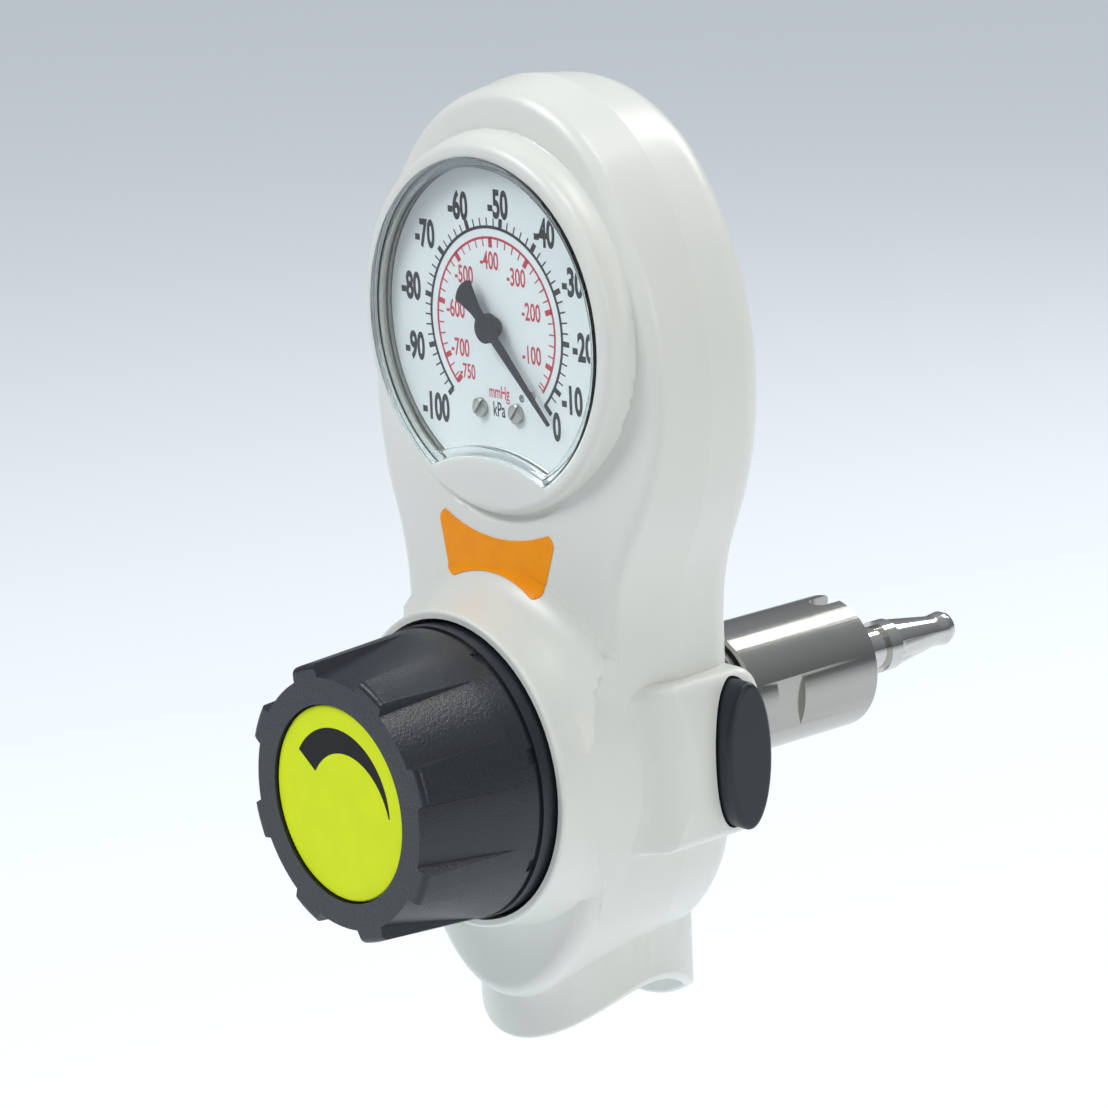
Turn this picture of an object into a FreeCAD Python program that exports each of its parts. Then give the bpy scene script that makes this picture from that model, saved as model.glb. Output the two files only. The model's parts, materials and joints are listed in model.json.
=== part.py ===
import FreeCAD, Part
import math
import os
import Sketcher

# Vacuum regulator for a wall outlet, in millimetres.
# Origin: the common axis of knob and probe, at the rear end face of the probe's sleeve.
# +X right as seen from the front, +Y back towards the wall, +Z up.

SIZES = [
    # Housing outline, seen from the front
    ("gauge_z", 77.4, "height of the gauge's axis above the knob's axis"),
    ("head_top_radius", 34.5, "crown arc of the head at the seam"),
    ("head_top_z", 85.6, "centre of the crown arc"),
    ("head_side_radius", 62.7, "side arc of the head at the seam"),
    ("head_side_z", 68.4, "centre of the side arcs"),
    ("waist_radius", 42.0, "concave arc of the waist at the seam"),
    ("body_half_width", 30.2, "half width of the lower body at the seam"),
    ("foot_z", -9.9, "centre of the round foot at the seam"),
    ("chin_centre_z", -2.6, "centre of the half ellipse of the chin"),
    ("chin_reach", 43.3, "half ellipse of the chin, downwards"),
    # Housing levels from front to back
    ("front_limit_y", -89.0, "plane that the front shell's loft runs to"),
    ("front_inset", 4.3, "draft of the front shell at that plane"),
    ("face_y", -82.1, "front face at the waist, on the middle line"),
    ("chin_y", -87.4, "front face at the chin"),
    ("chin_z", -46.5, "lower end of the sloping chin face"),
    ("chin_top_z", 27.0, "upper end of the sloping chin face"),
    ("head_face_y", -80.2, "front face beside the gauge, on the middle line"),
    ("head_face_z", 62.0, "height where the face reaches that level"),
    ("crown_face_y", -76.9, "front face at the top of the crown"),
    ("crown_face_z", 116.0, "top of the crown's face"),
    ("face_crown_radius", 280.0, "sideways curvature of the front face"),
    ("front_edge_radius", 3.0, "rounding of the front edge"),
    ("seam_y", -66.85, "seam between the two shells"),
    ("rear_y", -50.35, "rear face of the rear shell"),
    ("rear_inset", 1.5, "draft of the rear shell at its face"),
    ("rear_edge_radius", 9.0, "rounding of the rear edge"),
    ("wall", 2.6, "wall thickness of the shells"),
    ("cavity_front_y", -75.0, "front end of the hollow in the front shell"),
    ("front_hollow_step", 2.5, "how much more wall the sides of the front shell have"),
    ("cavity_lean", 18.0, "slope in degrees of the rear hollow's side"),
    # Bezel round the gauge
    ("bezel_front_y", -83.25, "front of the bezel ring"),
    ("bezel_flat_radius", 31.3, "outer edge of the bezel's flat ring"),
    ("bezel_radius", 33.0, "outer edge of the bezel's rounding"),
    ("bezel_shoulder_y", -81.7, "level at that edge"),
    ("bezel_flare_radius", 36.0, "outer end of the bezel's flare"),
    ("bezel_flare_y", -76.2, "level of that end"),
    ("bezel_round", 2.1, "rounding of the bezel ring"),
    ("bezel_flare_round", 6.0, "hollow of the bezel's flare"),
    ("crease_radius", 35.0, "outer edge of the crease under the bezel"),
    ("crease_inner_radius", 33.0, "inner edge of that crease"),
    ("crease_depth", 1.5, "depth of that crease"),
    # Collar round the knob
    ("collar_rim_y", -93.6, "front rim of the collar"),
    ("collar_rim_radius", 28.75, "outer radius of the rim"),
    ("collar_bore_radius", 27.25, "radius of the cup that the knob turns in"),
    ("collar_base_radius", 35.5, "outer end of the flare"),
    ("collar_base_y", -81.85, "level of that end"),
    ("collar_half_width", 29.5, "half width of the housing beside the collar"),
    ("collar_side_radius", 55.0, "curvature of its sides there"),
    ("collar_side_round", 2.0, "rounding between the flare and the sides"),
    ("collar_floor_y", -83.4, "floor of the cup"),
    ("works_front_y", -80.5, "front end of the hollow for the regulator"),
    ("works_radius", 24.0, "radius of that hollow"),
    # Button pods on both sides
    ("pod_face_x", 34.8, "end face of the pod"),
    ("pod_low_z", -14.1, "underside of the pod"),
    ("pod_high_z", 16.4, "upper side of the pod"),
    ("pod_front_y", -77.4, "front end of the pod's ramp"),
    ("pod_rear_y", -50.6, "rear end of the pod"),
    ("pod_barrel_radius", 65.0, "curvature of the end face over its height"),
    ("pod_soft", 2.6, "rounding of the pod's upper edge"),
    ("pod_tight", 1.0, "rounding of the pod's lower edge"),
    ("button_y", -57.55, "axis of the push-through valve"),
    ("button_z", 1.6, "axis of the push-through valve"),
    ("button_half_deep", 5.4, "oval cap, half its size from front to back"),
    ("button_half_tall", 13.5, "oval cap, half its height"),
    ("button_gap", 0.4, "gap between the cap and its opening"),
    ("button_out_x", 37.8, "face of the cap that stands out"),
    ("button_in_x", 34.0, "face of the cap that is pushed in"),
    ("button_root_x", 25.8, "inner end of the caps"),
    # Skirt under the foot
    ("skirt_y", -65.0, "axis of the skirt tube"),
    ("skirt_radius", 19.5, "outer radius of the skirt tube"),
    ("skirt_wall", 2.2, "its wall"),
    ("skirt_side_z", -41.3, "lower edge at the sides"),
    ("skirt_lip_z", -52.6, "lower edge at the front and rear lips"),
    ("skirt_lip_round", 0.8, "rounding of the lower edge"),
    ("skirt_ceiling_z", -38.0, "closed upper end of the skirt's hollow"),
    ("skirt_roof_z", -31.0, "upper side of the skirt's ceiling"),
    ("skirt_top_z", -25.0, "upper end of the skirt inside the foot"),
    # Boss and screws of the rear shell
    ("boss_base_radius", 17.5, "rear boss at the rear face"),
    ("boss_radius", 13.5, "rear boss at its end"),
    ("boss_end_y", -38.35, "end of the rear boss"),
    ("post_radius", 3.1, "screw posts"),
    ("pilot_radius", 1.25, "holes for the screws' threads"),
    ("screw_head_radius", 2.7, "housing screws, head"),
    ("screw_head_deep", 1.8, "housing screws, height of the head"),
    ("screw_sink", 2.8, "depth of the heads below the rear face"),
    ("screw_reach", 16.5, "housing screws, length under the head"),
    ("crown_post_x", 0.0, "screw post in the crown"),
    ("crown_post_z", 112.4, "screw post in the crown"),
    ("waist_post_x", 20.0, "screw posts at the waist"),
    ("waist_post_z", 28.5, "screw posts at the waist"),
    ("foot_post_x", 17.5, "screw posts at the foot"),
    ("foot_post_z", -24.0, "screw posts at the foot"),
    # Gauge
    ("lens_front_y", -83.85, "front face of the lens"),
    ("lens_radius", 30.0, "lens window"),
    ("lens_thick", 1.6, "thickness of the lens"),
    ("lens_flange_radius", 31.6, "flange behind the bezel"),
    ("lens_flange_y", -80.4, "front of the flange"),
    ("lens_back_y", -79.2, "rear end of the lens"),
    ("lens_fit", 0.1, "gap round the lens"),
    ("bite_half_width", 15.0, "half width of the bite out of the window's foot"),
    ("bite_radius", 37.3, "arc of that bite"),
    ("dial_y", -79.1, "front of the dial plate"),
    ("dial_thick", 0.5, "dial plate"),
    ("dial_radius", 30.4, "dial plate"),
    ("case_radius", 31.6, "gauge case"),
    ("case_wall", 1.1, "wall of the gauge case"),
    ("case_ledge", 2.2, "ledge under the dial plate"),
    ("case_back_y", -60.0, "rear face of the gauge case"),
    ("dial_screw_x", 4.8, "dial screws beside the axis"),
    ("dial_screw_z", -14.9, "dial screws below the axis"),
    ("dial_screw_radius", 1.75, "head of a dial screw"),
    ("stop_pin_x", 9.1, "stop pin beside the axis"),
    ("stop_pin_z", -11.2, "stop pin below the axis"),
    ("stop_pin_radius", 0.7, "stop pin"),
    ("needle_reach", 21.6, "axis to the pointer's tip"),
    ("tail_reach", 9.6, "axis to the pointer's tail"),
    ("needle_angle", 135.0, "rest of the pointer, clockwise from the top"),
    ("needle_y", -81.35, "front of the pointer"),
    ("needle_thick", 0.5, "thickness of the pointer"),
    ("hub_radius", 2.6, "pointer hub"),
    ("arbor_radius", 0.7, "pointer shaft"),
    ("pinion_pitch", 1.5, "pinion pitch radius"),
    ("sector_pitch", 15.0, "sector pitch radius"),
    ("tooth_half", 0.12, "half height of a gear tooth"),
    ("gear_front_y", -75.4, "front of the gears"),
    ("gear_thick", 1.2, "thickness of the gears"),
    ("plate_front_y", -77.6, "front movement plate"),
    ("plate_back_y", -70.6, "rear movement plate, front face"),
    ("plate_thick", 1.0, "movement plates"),
    ("pivot_fit", 0.05, "running clearance of shafts"),
    ("tube_radius", 22.5, "Bourdon tube, mean radius"),
    ("tube_half_thick", 1.1, "Bourdon tube, half its thickness"),
    ("tube_half_deep", 3.4, "Bourdon tube, half its depth"),
    ("tube_wall", 0.4, "Bourdon tube, wall"),
    ("tube_mid_y", -69.5, "Bourdon tube, middle"),
    ("tube_sweep", 250.0, "Bourdon tube, angle"),
    ("stem_radius", 5.0, "gauge stem"),
    # Knob
    ("knob_front_y", -120.35, "front rim of the knob"),
    ("knob_rear_y", -90.8, "rear end of the knob"),
    ("knob_front_radius", 24.7, "over the lobes at the front"),
    ("knob_rear_radius", 26.5, "over the lobes at the rear"),
    ("knob_rim_y", -97.0, "front of the smooth rear rim"),
    ("knob_rim_step", 0.35, "step down to the rear rim"),
    ("knob_edge", 1.2, "rounding of the front edge"),
    ("recess_floor_radius", 22.3, "floor of the recesses at the front"),
    ("recess_half_low", 5.2, "half width of a recess at its floor"),
    ("recess_half_high", 7.2, "half width of a recess at the surface"),
    ("recess_end_y", -98.6, "where the recesses run out"),
    ("recess_turn", 3.9, "angle of the first recess, clockwise from the top"),
    ("knob_wall", 3.0, "wall of the knob"),
    ("disc_radius", 17.42, "cover disc of the knob"),
    ("disc_y", -119.75, "front of the cover disc"),
    ("disc_thick", 1.2, "cover disc"),
    ("disc_gap", 0.25, "gap round the cover disc"),
    ("notch_half", 1.3, "half width of the notches in the rear rim"),
    ("notch_deep", 0.9, "depth of those notches"),
    # Regulator works
    ("spindle_radius", 4.0, "adjusting spindle"),
    ("spindle_front_y", -116.0, "front end of the spindle"),
    ("spindle_rear_y", -66.6, "rear end of the spindle"),
    ("spindle_flange_radius", 7.0, "flange of the spindle behind the bonnet neck"),
    ("flange_thick", 1.6, "that flange"),
    ("neck_radius", 9.0, "neck of the bonnet"),
    ("neck_front_y", -94.5, "front of the neck"),
    ("bonnet_front_y", -80.4, "shoulder of the bonnet"),
    ("bonnet_radius", 21.5, "bonnet, diaphragm and valve block"),
    ("bonnet_wall", 3.0, "wall of the bonnet"),
    ("bonnet_floor", 3.2, "floor of the bonnet"),
    ("bonnet_end_y", -62.5, "rear end of the bonnet"),
    ("seat_front_y", -75.2, "spring seat, front face at rest"),
    ("seat_thick", 3.0, "spring seat"),
    ("seat_radius", 15.5, "spring seat"),
    ("seat_travel", 3.0, "travel of the spring seat"),
    ("spring_radius", 11.5, "main spring, mean radius"),
    ("spring_wire", 1.5, "main spring, wire"),
    ("spring_turns", 2.5, "main spring, turns"),
    ("plate_radius", 13.5, "plate on the diaphragm"),
    ("press_plate_thick", 1.0, "that plate"),
    ("diaphragm_thick", 0.8, "diaphragm"),
    ("block_back_y", -52.95, "rear face of the valve block"),
    ("block_half_width", 8.0, "arms of the valve block"),
    ("block_front_y", -72.2, "front of the arms"),
    ("arm_in_z", 21.9, "where the arms clear the bonnet"),
    ("upper_arm_z", 40.0, "end of the upper arm"),
    ("lower_arm_z", -30.2, "end of the lower arm"),
    ("passage_radius", 2.2, "air passages"),
    ("spool_radius", 2.6, "push-through valve spool"),
    ("seal_deep", 0.8, "seals of the spool, depth of their grooves"),
    ("seal_x", 14.0, "inner side of those grooves"),
    ("stub_radius", 7.5, "threaded stub of the valve block"),
    ("stub_end_y", -25.0, "end of the stub"),
    # Inlet
    ("gasket_radius", 12.3, "rear gasket"),
    ("gasket_end_y", -35.35, "its rear face"),
    ("ring_radius", 12.0, "lock ring"),
    ("ring_end_y", -33.55, "its rear face"),
    ("ring_step", 0.45, "step of the lock ring"),
    ("sleeve_radius", 12.75, "inlet sleeve"),
    ("sleeve_front_y", -32.85, "front end of the sleeve"),
    ("sleeve_bore_radius", 9.7, "hollow of the sleeve"),
    ("web_front_y", -24.0, "web inside the sleeve"),
    ("web_back_y", -21.0, "web inside the sleeve"),
    ("sleeve_edge", 0.5, "bevels of the sleeve"),
    ("flat_front_y", -26.35, "wrench flats"),
    ("flat_back_y", -19.55, "wrench flats"),
    ("flat_x", 11.75, "wrench flats, distance from the axis"),
    ("sleeve_turn", 6.0, "turn of the sleeve, clockwise from the front"),
    ("slot_half", 1.8, "half width of the key slot"),
    ("slot_front_y", -6.35, "blind end of the key slot"),
    ("plug_flange_radius", 9.5, "flange of the plug"),
    ("plug_flange_thick", 3.0, "that flange"),
    ("plug_body_radius", 5.3, "plug at the sleeve's mouth"),
    ("plug_body_end_y", 1.2, "end of that stretch"),
    ("plug_neck_radius", 4.2, "neck of the plug"),
    ("plug_neck_end_y", 11.65, "end of the neck"),
    ("plug_collar_radius", 5.05, "collar of the plug"),
    ("plug_collar_end_y", 14.65, "end of the collar"),
    ("plug_cone_radius", 4.85, "start of the cone"),
    ("plug_tip_radius", 3.05, "end of the cone"),
    ("plug_cone_end_y", 26.85, "end of the cone"),
    ("plug_lip_radius", 3.35, "flared lip"),
    ("plug_end_y", 31.15, "end of the plug"),
    ("plug_bore_radius", 2.0, "bore of the plug"),
    # Port
    ("port_end_z", -45.4, "lower end of the port nipple"),
    ("port_stop_z", -39.2, "stop collar of the nipple"),
    ("port_bevel", 0.6, "bevel at the nipple's end"),
    ("port_radius", 4.6, "port nipple"),
    ("port_nut_radius", 6.4, "shoulder of the nipple"),
    # Label on the waist
    ("label_half_top", 15.9, "half width of the label at its top"),
    ("label_half_low", 12.6, "half width of the label at its foot"),
    ("label_high_z", 42.6, "upper corners"),
    ("label_low_z", 31.2, "lower corners"),
    ("label_dip_high", 2.8, "dip of the label's upper edge"),
    ("label_dip_low", 2.4, "rise of the label's lower edge"),
    ("label_round", 2.0, "rounding of the label's corners"),
    ("label_thick", 0.2, "thickness of the label"),
    ("label_shift", -0.7, "middle of the label beside the axis"),
    ("label_tilt", 1.5, "turn of the label, clockwise"),
]

doc = FreeCAD.newDocument("vacuum_regulator")
sheet = doc.addObject("Spreadsheet::Sheet", "Sizes")
for row, (alias, number, note) in enumerate(SIZES, start=1):
    sheet.set("A%d" % row, alias)
    sheet.set("B%d" % row, "%g" % number)
    sheet.set("C%d" % row, note)
    sheet.setAlias("B%d" % row, alias)
doc.recompute()

OUT = "parts"


def amount(text):
    """Number of a sum of sizes such as 'wall + lens_fit'."""
    total = 0.0
    sign = 1.0
    for word in str(text).split():
        if word == "+":
            sign = 1.0
        elif word == "-":
            sign = -1.0
        else:
            minus = word.startswith("-") and not word[1:2].isdigit()
            name = word[1:] if minus else word
            try:
                number = float(name)
            except ValueError:
                number = float(sheet.get(name))
            total += -sign * number if minus else sign * number
            sign = 1.0
    return total


def formula(text):
    """The same sum as an expression on the sheet."""
    words = []
    for word in str(text).split():
        bare = word.lstrip("-")
        lead = word[: len(word) - len(bare)]
        if word in ("+", "-") or bare[:1].isdigit():
            words.append(word)
        else:
            words.append(lead + "Sizes." + bare)
    return " ".join(words)


def bind(thing, prop, text):
    thing.setExpression(prop, formula(text))


def vec(x, y, z=0.0):
    return FreeCAD.Vector(x, y, z)


def new_body(label):
    body = doc.addObject("PartDesign::Body", label)
    body.Label = label
    return body


def plane_of(body, role):
    return [one for one in body.Origin.OriginFeatures if one.Role == role][0]


def new_sketch(body, name, role, shift="0"):
    """Sketch on one of the body's own planes; XZ is drawn as x, z and shifts towards -Y."""
    sketch = body.newObject("Sketcher::SketchObject", name)
    sketch.AttachmentSupport = [(plane_of(body, role), "")]
    sketch.MapMode = "FlatFace"
    bind(sketch, "AttachmentOffset.Base.z", shift)
    return sketch


def arc_between(start, end, radius, side):
    """Arc from start to end; side 1 turns to the left of the way, -1 to the right."""
    chord = end - start
    half = chord.Length / 2
    mid = (start + end) * 0.5
    across = vec(-chord.y, chord.x).normalize()
    centre = mid + across * (side * math.sqrt(max(radius * radius - half * half, 0.0)))
    first, last = (start, end) if side > 0 else (end, start)
    a0 = math.atan2(first.y - centre.y, first.x - centre.x)
    a1 = math.atan2(last.y - centre.y, last.x - centre.x)
    if a1 <= a0:
        a1 += 2 * math.pi
    return Part.ArcOfCircle(Part.Circle(centre, vec(0, 0, 1), radius), a0, a1)


def pin_down(sketch, index, point, axis, text):
    """Tie one coordinate of a sketch point to the sheet."""
    value = amount(text)
    if abs(value) < 1e-9:
        line = -2 if axis == "X" else -1
        sketch.addConstraint(Sketcher.Constraint("PointOnObject", index, point, line))
        return
    number = sketch.addConstraint(Sketcher.Constraint("Distance" + axis, -1, 1, index, point, value))
    bind(sketch, "Constraints[%d]" % number, text)


def draw(sketch, corners, arcs=None):
    """Closed outline through corners given as sums of sizes; arcs maps an edge to radius and side."""
    arcs = arcs or {}
    points = [vec(amount(a), amount(b)) for a, b in corners]
    ends = []
    for number, start in enumerate(points):
        stop = points[(number + 1) % len(points)]
        if number in arcs:
            radius, side = arcs[number]
            index = sketch.addGeometry(arc_between(start, stop, amount(radius), side), False)
            ends.append((index, 1, 2) if side > 0 else (index, 2, 1))
        else:
            index = sketch.addGeometry(Part.LineSegment(start, stop), False)
            ends.append((index, 1, 2))
    for number, (index, begin, stop) in enumerate(ends):
        after = ends[(number + 1) % len(ends)]
        sketch.addConstraint(Sketcher.Constraint("Coincident", index, stop, after[0], after[1]))
        pin_down(sketch, index, begin, "X", corners[number][0])
        pin_down(sketch, index, begin, "Y", corners[number][1])
    for number in arcs:
        mark = sketch.addConstraint(Sketcher.Constraint("Radius", ends[number][0], amount(arcs[number][0])))
        bind(sketch, "Constraints[%d]" % mark, arcs[number][0])


def ring(sketch, x, y, radius):
    """Circle at x, y with its radius, all given as sums of sizes."""
    index = sketch.addGeometry(Part.Circle(vec(amount(x), amount(y)), vec(0, 0, 1), amount(radius)), False)
    pin_down(sketch, index, 3, "X", x)
    pin_down(sketch, index, 3, "Y", y)
    mark = sketch.addConstraint(Sketcher.Constraint("Radius", index, amount(radius)))
    bind(sketch, "Constraints[%d]" % mark, radius)


def oval(sketch, x, y, half_x, half_y):
    """Ellipse with half sizes along x and y, half_y the larger."""
    centre = vec(amount(x), amount(y))
    high = centre + vec(0, amount(half_y))
    side = centre + vec(amount(half_x), 0)
    sketch.addGeometry(Part.Ellipse(high, side, centre), False)


def volume(feature):
    return feature.Shape.Volume


def pad(body, sketch, length, toward_back=False):
    feature = body.newObject("PartDesign::Pad", sketch.Name + "_pad")
    feature.Profile = sketch
    bind(feature, "Length", length)
    feature.Reversed = toward_back
    doc.recompute()
    return feature


def pocket(body, sketch, length=None, toward_back=False):
    """Cut a sketch away; with no length it goes right through on both sides."""
    before = volume(body.Tip)
    feature = body.newObject("PartDesign::Pocket", sketch.Name + "_cut")
    feature.Profile = sketch
    if length is None:
        feature.Type = "ThroughAll"
        feature.Midplane = True
    else:
        bind(feature, "Length", length)
        feature.Reversed = toward_back
    doc.recompute()
    if volume(feature) > before - 1e-3:
        raise RuntimeError(sketch.Name + " cuts nothing")
    return feature


def turn(body, sketch, angle=360.0):
    """Revolve a sketch on the YZ plane about the body's Y axis."""
    feature = body.newObject("PartDesign::Revolution", sketch.Name + "_turn")
    feature.Profile = sketch
    feature.ReferenceAxis = (sketch, ["H_Axis"])
    feature.Angle = angle
    doc.recompute()
    return feature


def edges_at(shape, test):
    """Names of the edges whose every sample point passes the test."""
    names = []
    for number, edge in enumerate(shape.Edges, start=1):
        marks = [edge.valueAt(edge.FirstParameter + (edge.LastParameter - edge.FirstParameter) * k / 4)
                 for k in range(5)]
        if all(test(one) for one in marks):
            names.append("Edge%d" % number)
    return names


def soften(body, radius, test, kind="PartDesign::Fillet"):
    """Round or bevel the edges of the body that pass the test."""
    base = body.Tip
    names = edges_at(base.Shape, test)
    if not names:
        raise RuntimeError(body.Label + " has no such edge")
    feature = body.newObject(kind, body.Label + "_edge%d" % len(body.Group))
    feature.Base = (base, names)
    bind(feature, "Size" if kind.endswith("Chamfer") else "Radius", radius)
    doc.recompute()
    return feature


def near(value, text, slack=0.02):
    return abs(value - amount(text)) < slack


def polar(body, features, count, role="Y_Axis"):
    """Repeat features evenly about one of the body's axes."""
    pattern = body.newObject("PartDesign::PolarPattern", features[0].Name + "_pattern")
    pattern.Originals = features
    pattern.Axis = (plane_of(body, role), [""])
    pattern.Angle = 360
    pattern.Occurrences = count
    body.Tip = pattern
    doc.recompute()
    return pattern


def place(body, x="0", y="0", z="0"):
    for axis, text in (("x", x), ("y", y), ("z", z)):
        bind(body, "Placement.Base." + axis, text)


# Outline of the housing, used at several levels
def housing_curve(sketch, inset, chin):
    """Outline drawn inset from the seam's; the chin follows a half ellipse instead of a circle."""
    top_r = amount("head_top_radius")
    side_r = amount("head_side_radius")
    waist_r = amount("waist_radius")
    top_z = amount("head_top_z")
    side_z = amount("head_side_z")
    half = amount("body_half_width")
    side_x = math.sqrt((side_r - top_r) ** 2 - (top_z - side_z) ** 2)
    waist_x = half + waist_r
    waist_z = side_z - math.sqrt((side_r + waist_r) ** 2 - (waist_x + side_x) ** 2)
    crown = vec(0, top_z)
    meet = vec(side_x, top_z - side_z).normalize()
    high = crown + meet * (top_r - inset)
    flow = vec(waist_x + side_x, waist_z - side_z).normalize()
    side = vec(-side_x, side_z)
    mid = side + flow * (side_r - inset)
    low = vec(half - inset, waist_z)
    foot_z = amount("chin_centre_z") if chin else amount("foot_z")
    foot = vec(half - inset, foot_z)

    def flip(point):
        return vec(-point.x, point.y)

    sketch.addGeometry(arc_between(high, flip(high), top_r - inset, 1), False)
    sketch.addGeometry(arc_between(flip(high), flip(mid), side_r - inset, 1), False)
    sketch.addGeometry(arc_between(flip(mid), flip(low), waist_r + inset, -1), False)
    sketch.addGeometry(Part.LineSegment(flip(low), flip(foot)), False)
    if chin:
        reach = amount("chin_reach")
        oval_line = Part.Ellipse(vec(0, foot_z + reach), vec(half - inset, foot_z), vec(0, foot_z))
        sketch.addGeometry(Part.ArcOfEllipse(oval_line, math.pi / 2, 3 * math.pi / 2), False)
    else:
        sketch.addGeometry(arc_between(flip(foot), foot, half - inset, 1), False)
    sketch.addGeometry(Part.LineSegment(foot, low), False)
    sketch.addGeometry(arc_between(low, mid, waist_r + inset, -1), False)
    sketch.addGeometry(arc_between(mid, high, side_r - inset, 1), False)


def flat_sketch(name, level):
    """Free sketch on a plane across Y; it is drawn as x, z."""
    sketch = doc.addObject("Sketcher::SketchObject", name)
    sketch.Placement = FreeCAD.Placement(vec(0, 0), FreeCAD.Rotation(vec(1, 0, 0), 90))
    bind(sketch, "Placement.Base.y", level)
    return sketch


def side_sketch(name, centre_z="0"):
    """Free sketch on the middle plane; it is drawn as y, z from a given height."""
    sketch = doc.addObject("Sketcher::SketchObject", name)
    sketch.Placement = FreeCAD.Placement(vec(0, 0), FreeCAD.Rotation(vec(1, 1, 1), 120))
    bind(sketch, "Placement.Base.z", centre_z)
    return sketch


def loft(name, sketches):
    feature = doc.addObject("Part::Loft", name)
    feature.Sections = sketches
    feature.Solid = True
    feature.Ruled = True
    return feature


def extrude(name, sketch, direction, length, back="0"):
    feature = doc.addObject("Part::Extrusion", name)
    feature.Base = sketch
    feature.DirMode = "Custom"
    feature.Dir = direction
    bind(feature, "LengthFwd", length)
    bind(feature, "LengthRev", back)
    feature.Solid = True
    return feature


def spin(name, sketch, centre_z="0"):
    """Revolve a middle-plane sketch about an axis along Y at a given height."""
    feature = doc.addObject("Part::Revolution", name)
    feature.Source = sketch
    feature.Axis = vec(0, 1, 0)
    feature.Base = vec(0, 0, 0)
    bind(feature, "Base.z", centre_z)
    feature.Angle = 360
    feature.Solid = True
    return feature


def joined(name, shapes):
    feature = doc.addObject("Part::MultiFuse", name)
    feature.Shapes = shapes
    feature.Refine = True
    return feature


def shared(name, shapes):
    feature = doc.addObject("Part::MultiCommon", name)
    feature.Shapes = shapes
    return feature


def less(name, base, tool):
    feature = doc.addObject("Part::Cut", name)
    feature.Base = base
    feature.Tool = tool
    doc.recompute()
    if volume(feature) > volume(base) - 1e-3:
        raise RuntimeError(name + " cuts nothing")
    return feature


def rounded(name, base, radius, test):
    doc.recompute()
    size = amount(radius)
    feature = doc.addObject("Part::Fillet", name)
    feature.Base = base
    feature.Edges = [(int(one[4:]), size, size) for one in edges_at(base.Shape, test)]
    doc.recompute()
    return feature


def cylinder(name, radius, height, axis, x="0", y="0", z="0"):
    """Cylinder from a point along an axis."""
    feature = doc.addObject("Part::Cylinder", name)
    bind(feature, "Radius", radius)
    bind(feature, "Height", height)
    feature.Placement.Rotation = FreeCAD.Rotation(vec(0, 0, 1), axis)
    place(feature, x, y, z)
    return feature


def box(name, low, high):
    """Box between two corners given as sums of sizes."""
    feature = doc.addObject("Part::Box", name)
    for prop, first, last in zip(("Length", "Width", "Height"), low, high):
        spread = "(" + formula(last) + ") - (" + formula(first) + ")"
        feature.setExpression(prop, spread)
    place(feature, *low)
    return feature


# Shell forms shared by both halves
BACK = vec(0, 1, 0)
RIGHT = vec(1, 0, 0)


def whole_pod(side):
    """Pod on one side of the housing, with a ramp in front and rounded edges."""
    tag = "right" if side > 0 else "left"
    plan = doc.addObject("Sketcher::SketchObject", "pod_plan_" + tag)
    bind(plan, "Placement.Base.z", "pod_low_z - 1")
    face = amount("pod_face_x")
    front = amount("pod_front_y")
    rear = amount("pod_rear_y")
    root = face - 12.0
    ramp = [vec(side * (face - 7.6), front - 2.0), vec(side * (face - 6.5), front),
            vec(side * (face - 4.7), front + 2.4), vec(side * (face - 2.0), front + 5.4),
            vec(side * (face - 0.4), front + 8.4), vec(side * face, front + 11.5)]
    curve = Part.BSplineCurve()
    curve.interpolate(ramp)
    plan.addGeometry(Part.LineSegment(vec(side * root, front - 2.0), ramp[0]), False)
    plan.addGeometry(curve, False)
    plan.addGeometry(Part.LineSegment(ramp[-1], vec(side * face, rear)), False)
    plan.addGeometry(Part.LineSegment(vec(side * face, rear), vec(side * root, rear)), False)
    plan.addGeometry(Part.LineSegment(vec(side * root, rear), vec(side * root, front - 2.0)), False)
    prism = extrude("pod_prism_" + tag, plan, vec(0, 0, 1), "pod_high_z - pod_low_z + 2")
    view = doc.addObject("Sketcher::SketchObject", "pod_view_" + tag)
    view.Placement = FreeCAD.Placement(vec(0, 0), FreeCAD.Rotation(vec(1, 1, 1), 120))
    low = amount("pod_low_z")
    high = amount("pod_high_z")
    ahead = front - 3.0
    tight = 5.0
    corners = [(ahead, low, None), (rear - tight, low, tight), (rear, low + tight, None),
               (rear, high - tight, tight), (rear - tight, high, None), (ahead, high, None)]
    for number, (y, z, radius) in enumerate(corners):
        start_at = vec(y, z)
        stop_at = vec(*corners[(number + 1) % len(corners)][:2])
        if radius:
            view.addGeometry(arc_between(start_at, stop_at, radius, 1), False)
        else:
            view.addGeometry(Part.LineSegment(start_at, stop_at), False)
    slab = extrude("pod_slab_" + tag, view, vec(side, 0, 0), "pod_face_x + 1")
    barrel = doc.addObject("Part::Cylinder", "pod_barrel_" + tag)
    bind(barrel, "Radius", "pod_barrel_radius")
    bind(barrel, "Height", "pod_rear_y - pod_front_y + 8")
    barrel.Placement.Rotation = FreeCAD.Rotation(vec(0, 0, 1), BACK)
    inner = "pod_face_x - pod_barrel_radius"
    place(barrel, inner if side > 0 else "pod_barrel_radius - pod_face_x", "pod_front_y - 4", "button_z")
    block = shared("pod_block_" + tag, [prism, slab, barrel])
    upper = rounded("pod_upper_" + tag, block, "pod_soft",
                    lambda p: near(p.z, "pod_high_z") and abs(p.x) > face - 9.0)
    return rounded("pod_whole_" + tag, upper, "pod_tight",
                   lambda p: near(p.z, "pod_low_z") and abs(p.x) > face - 9.0)


pods = [whole_pod(side) for side in (1, -1)]


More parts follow.
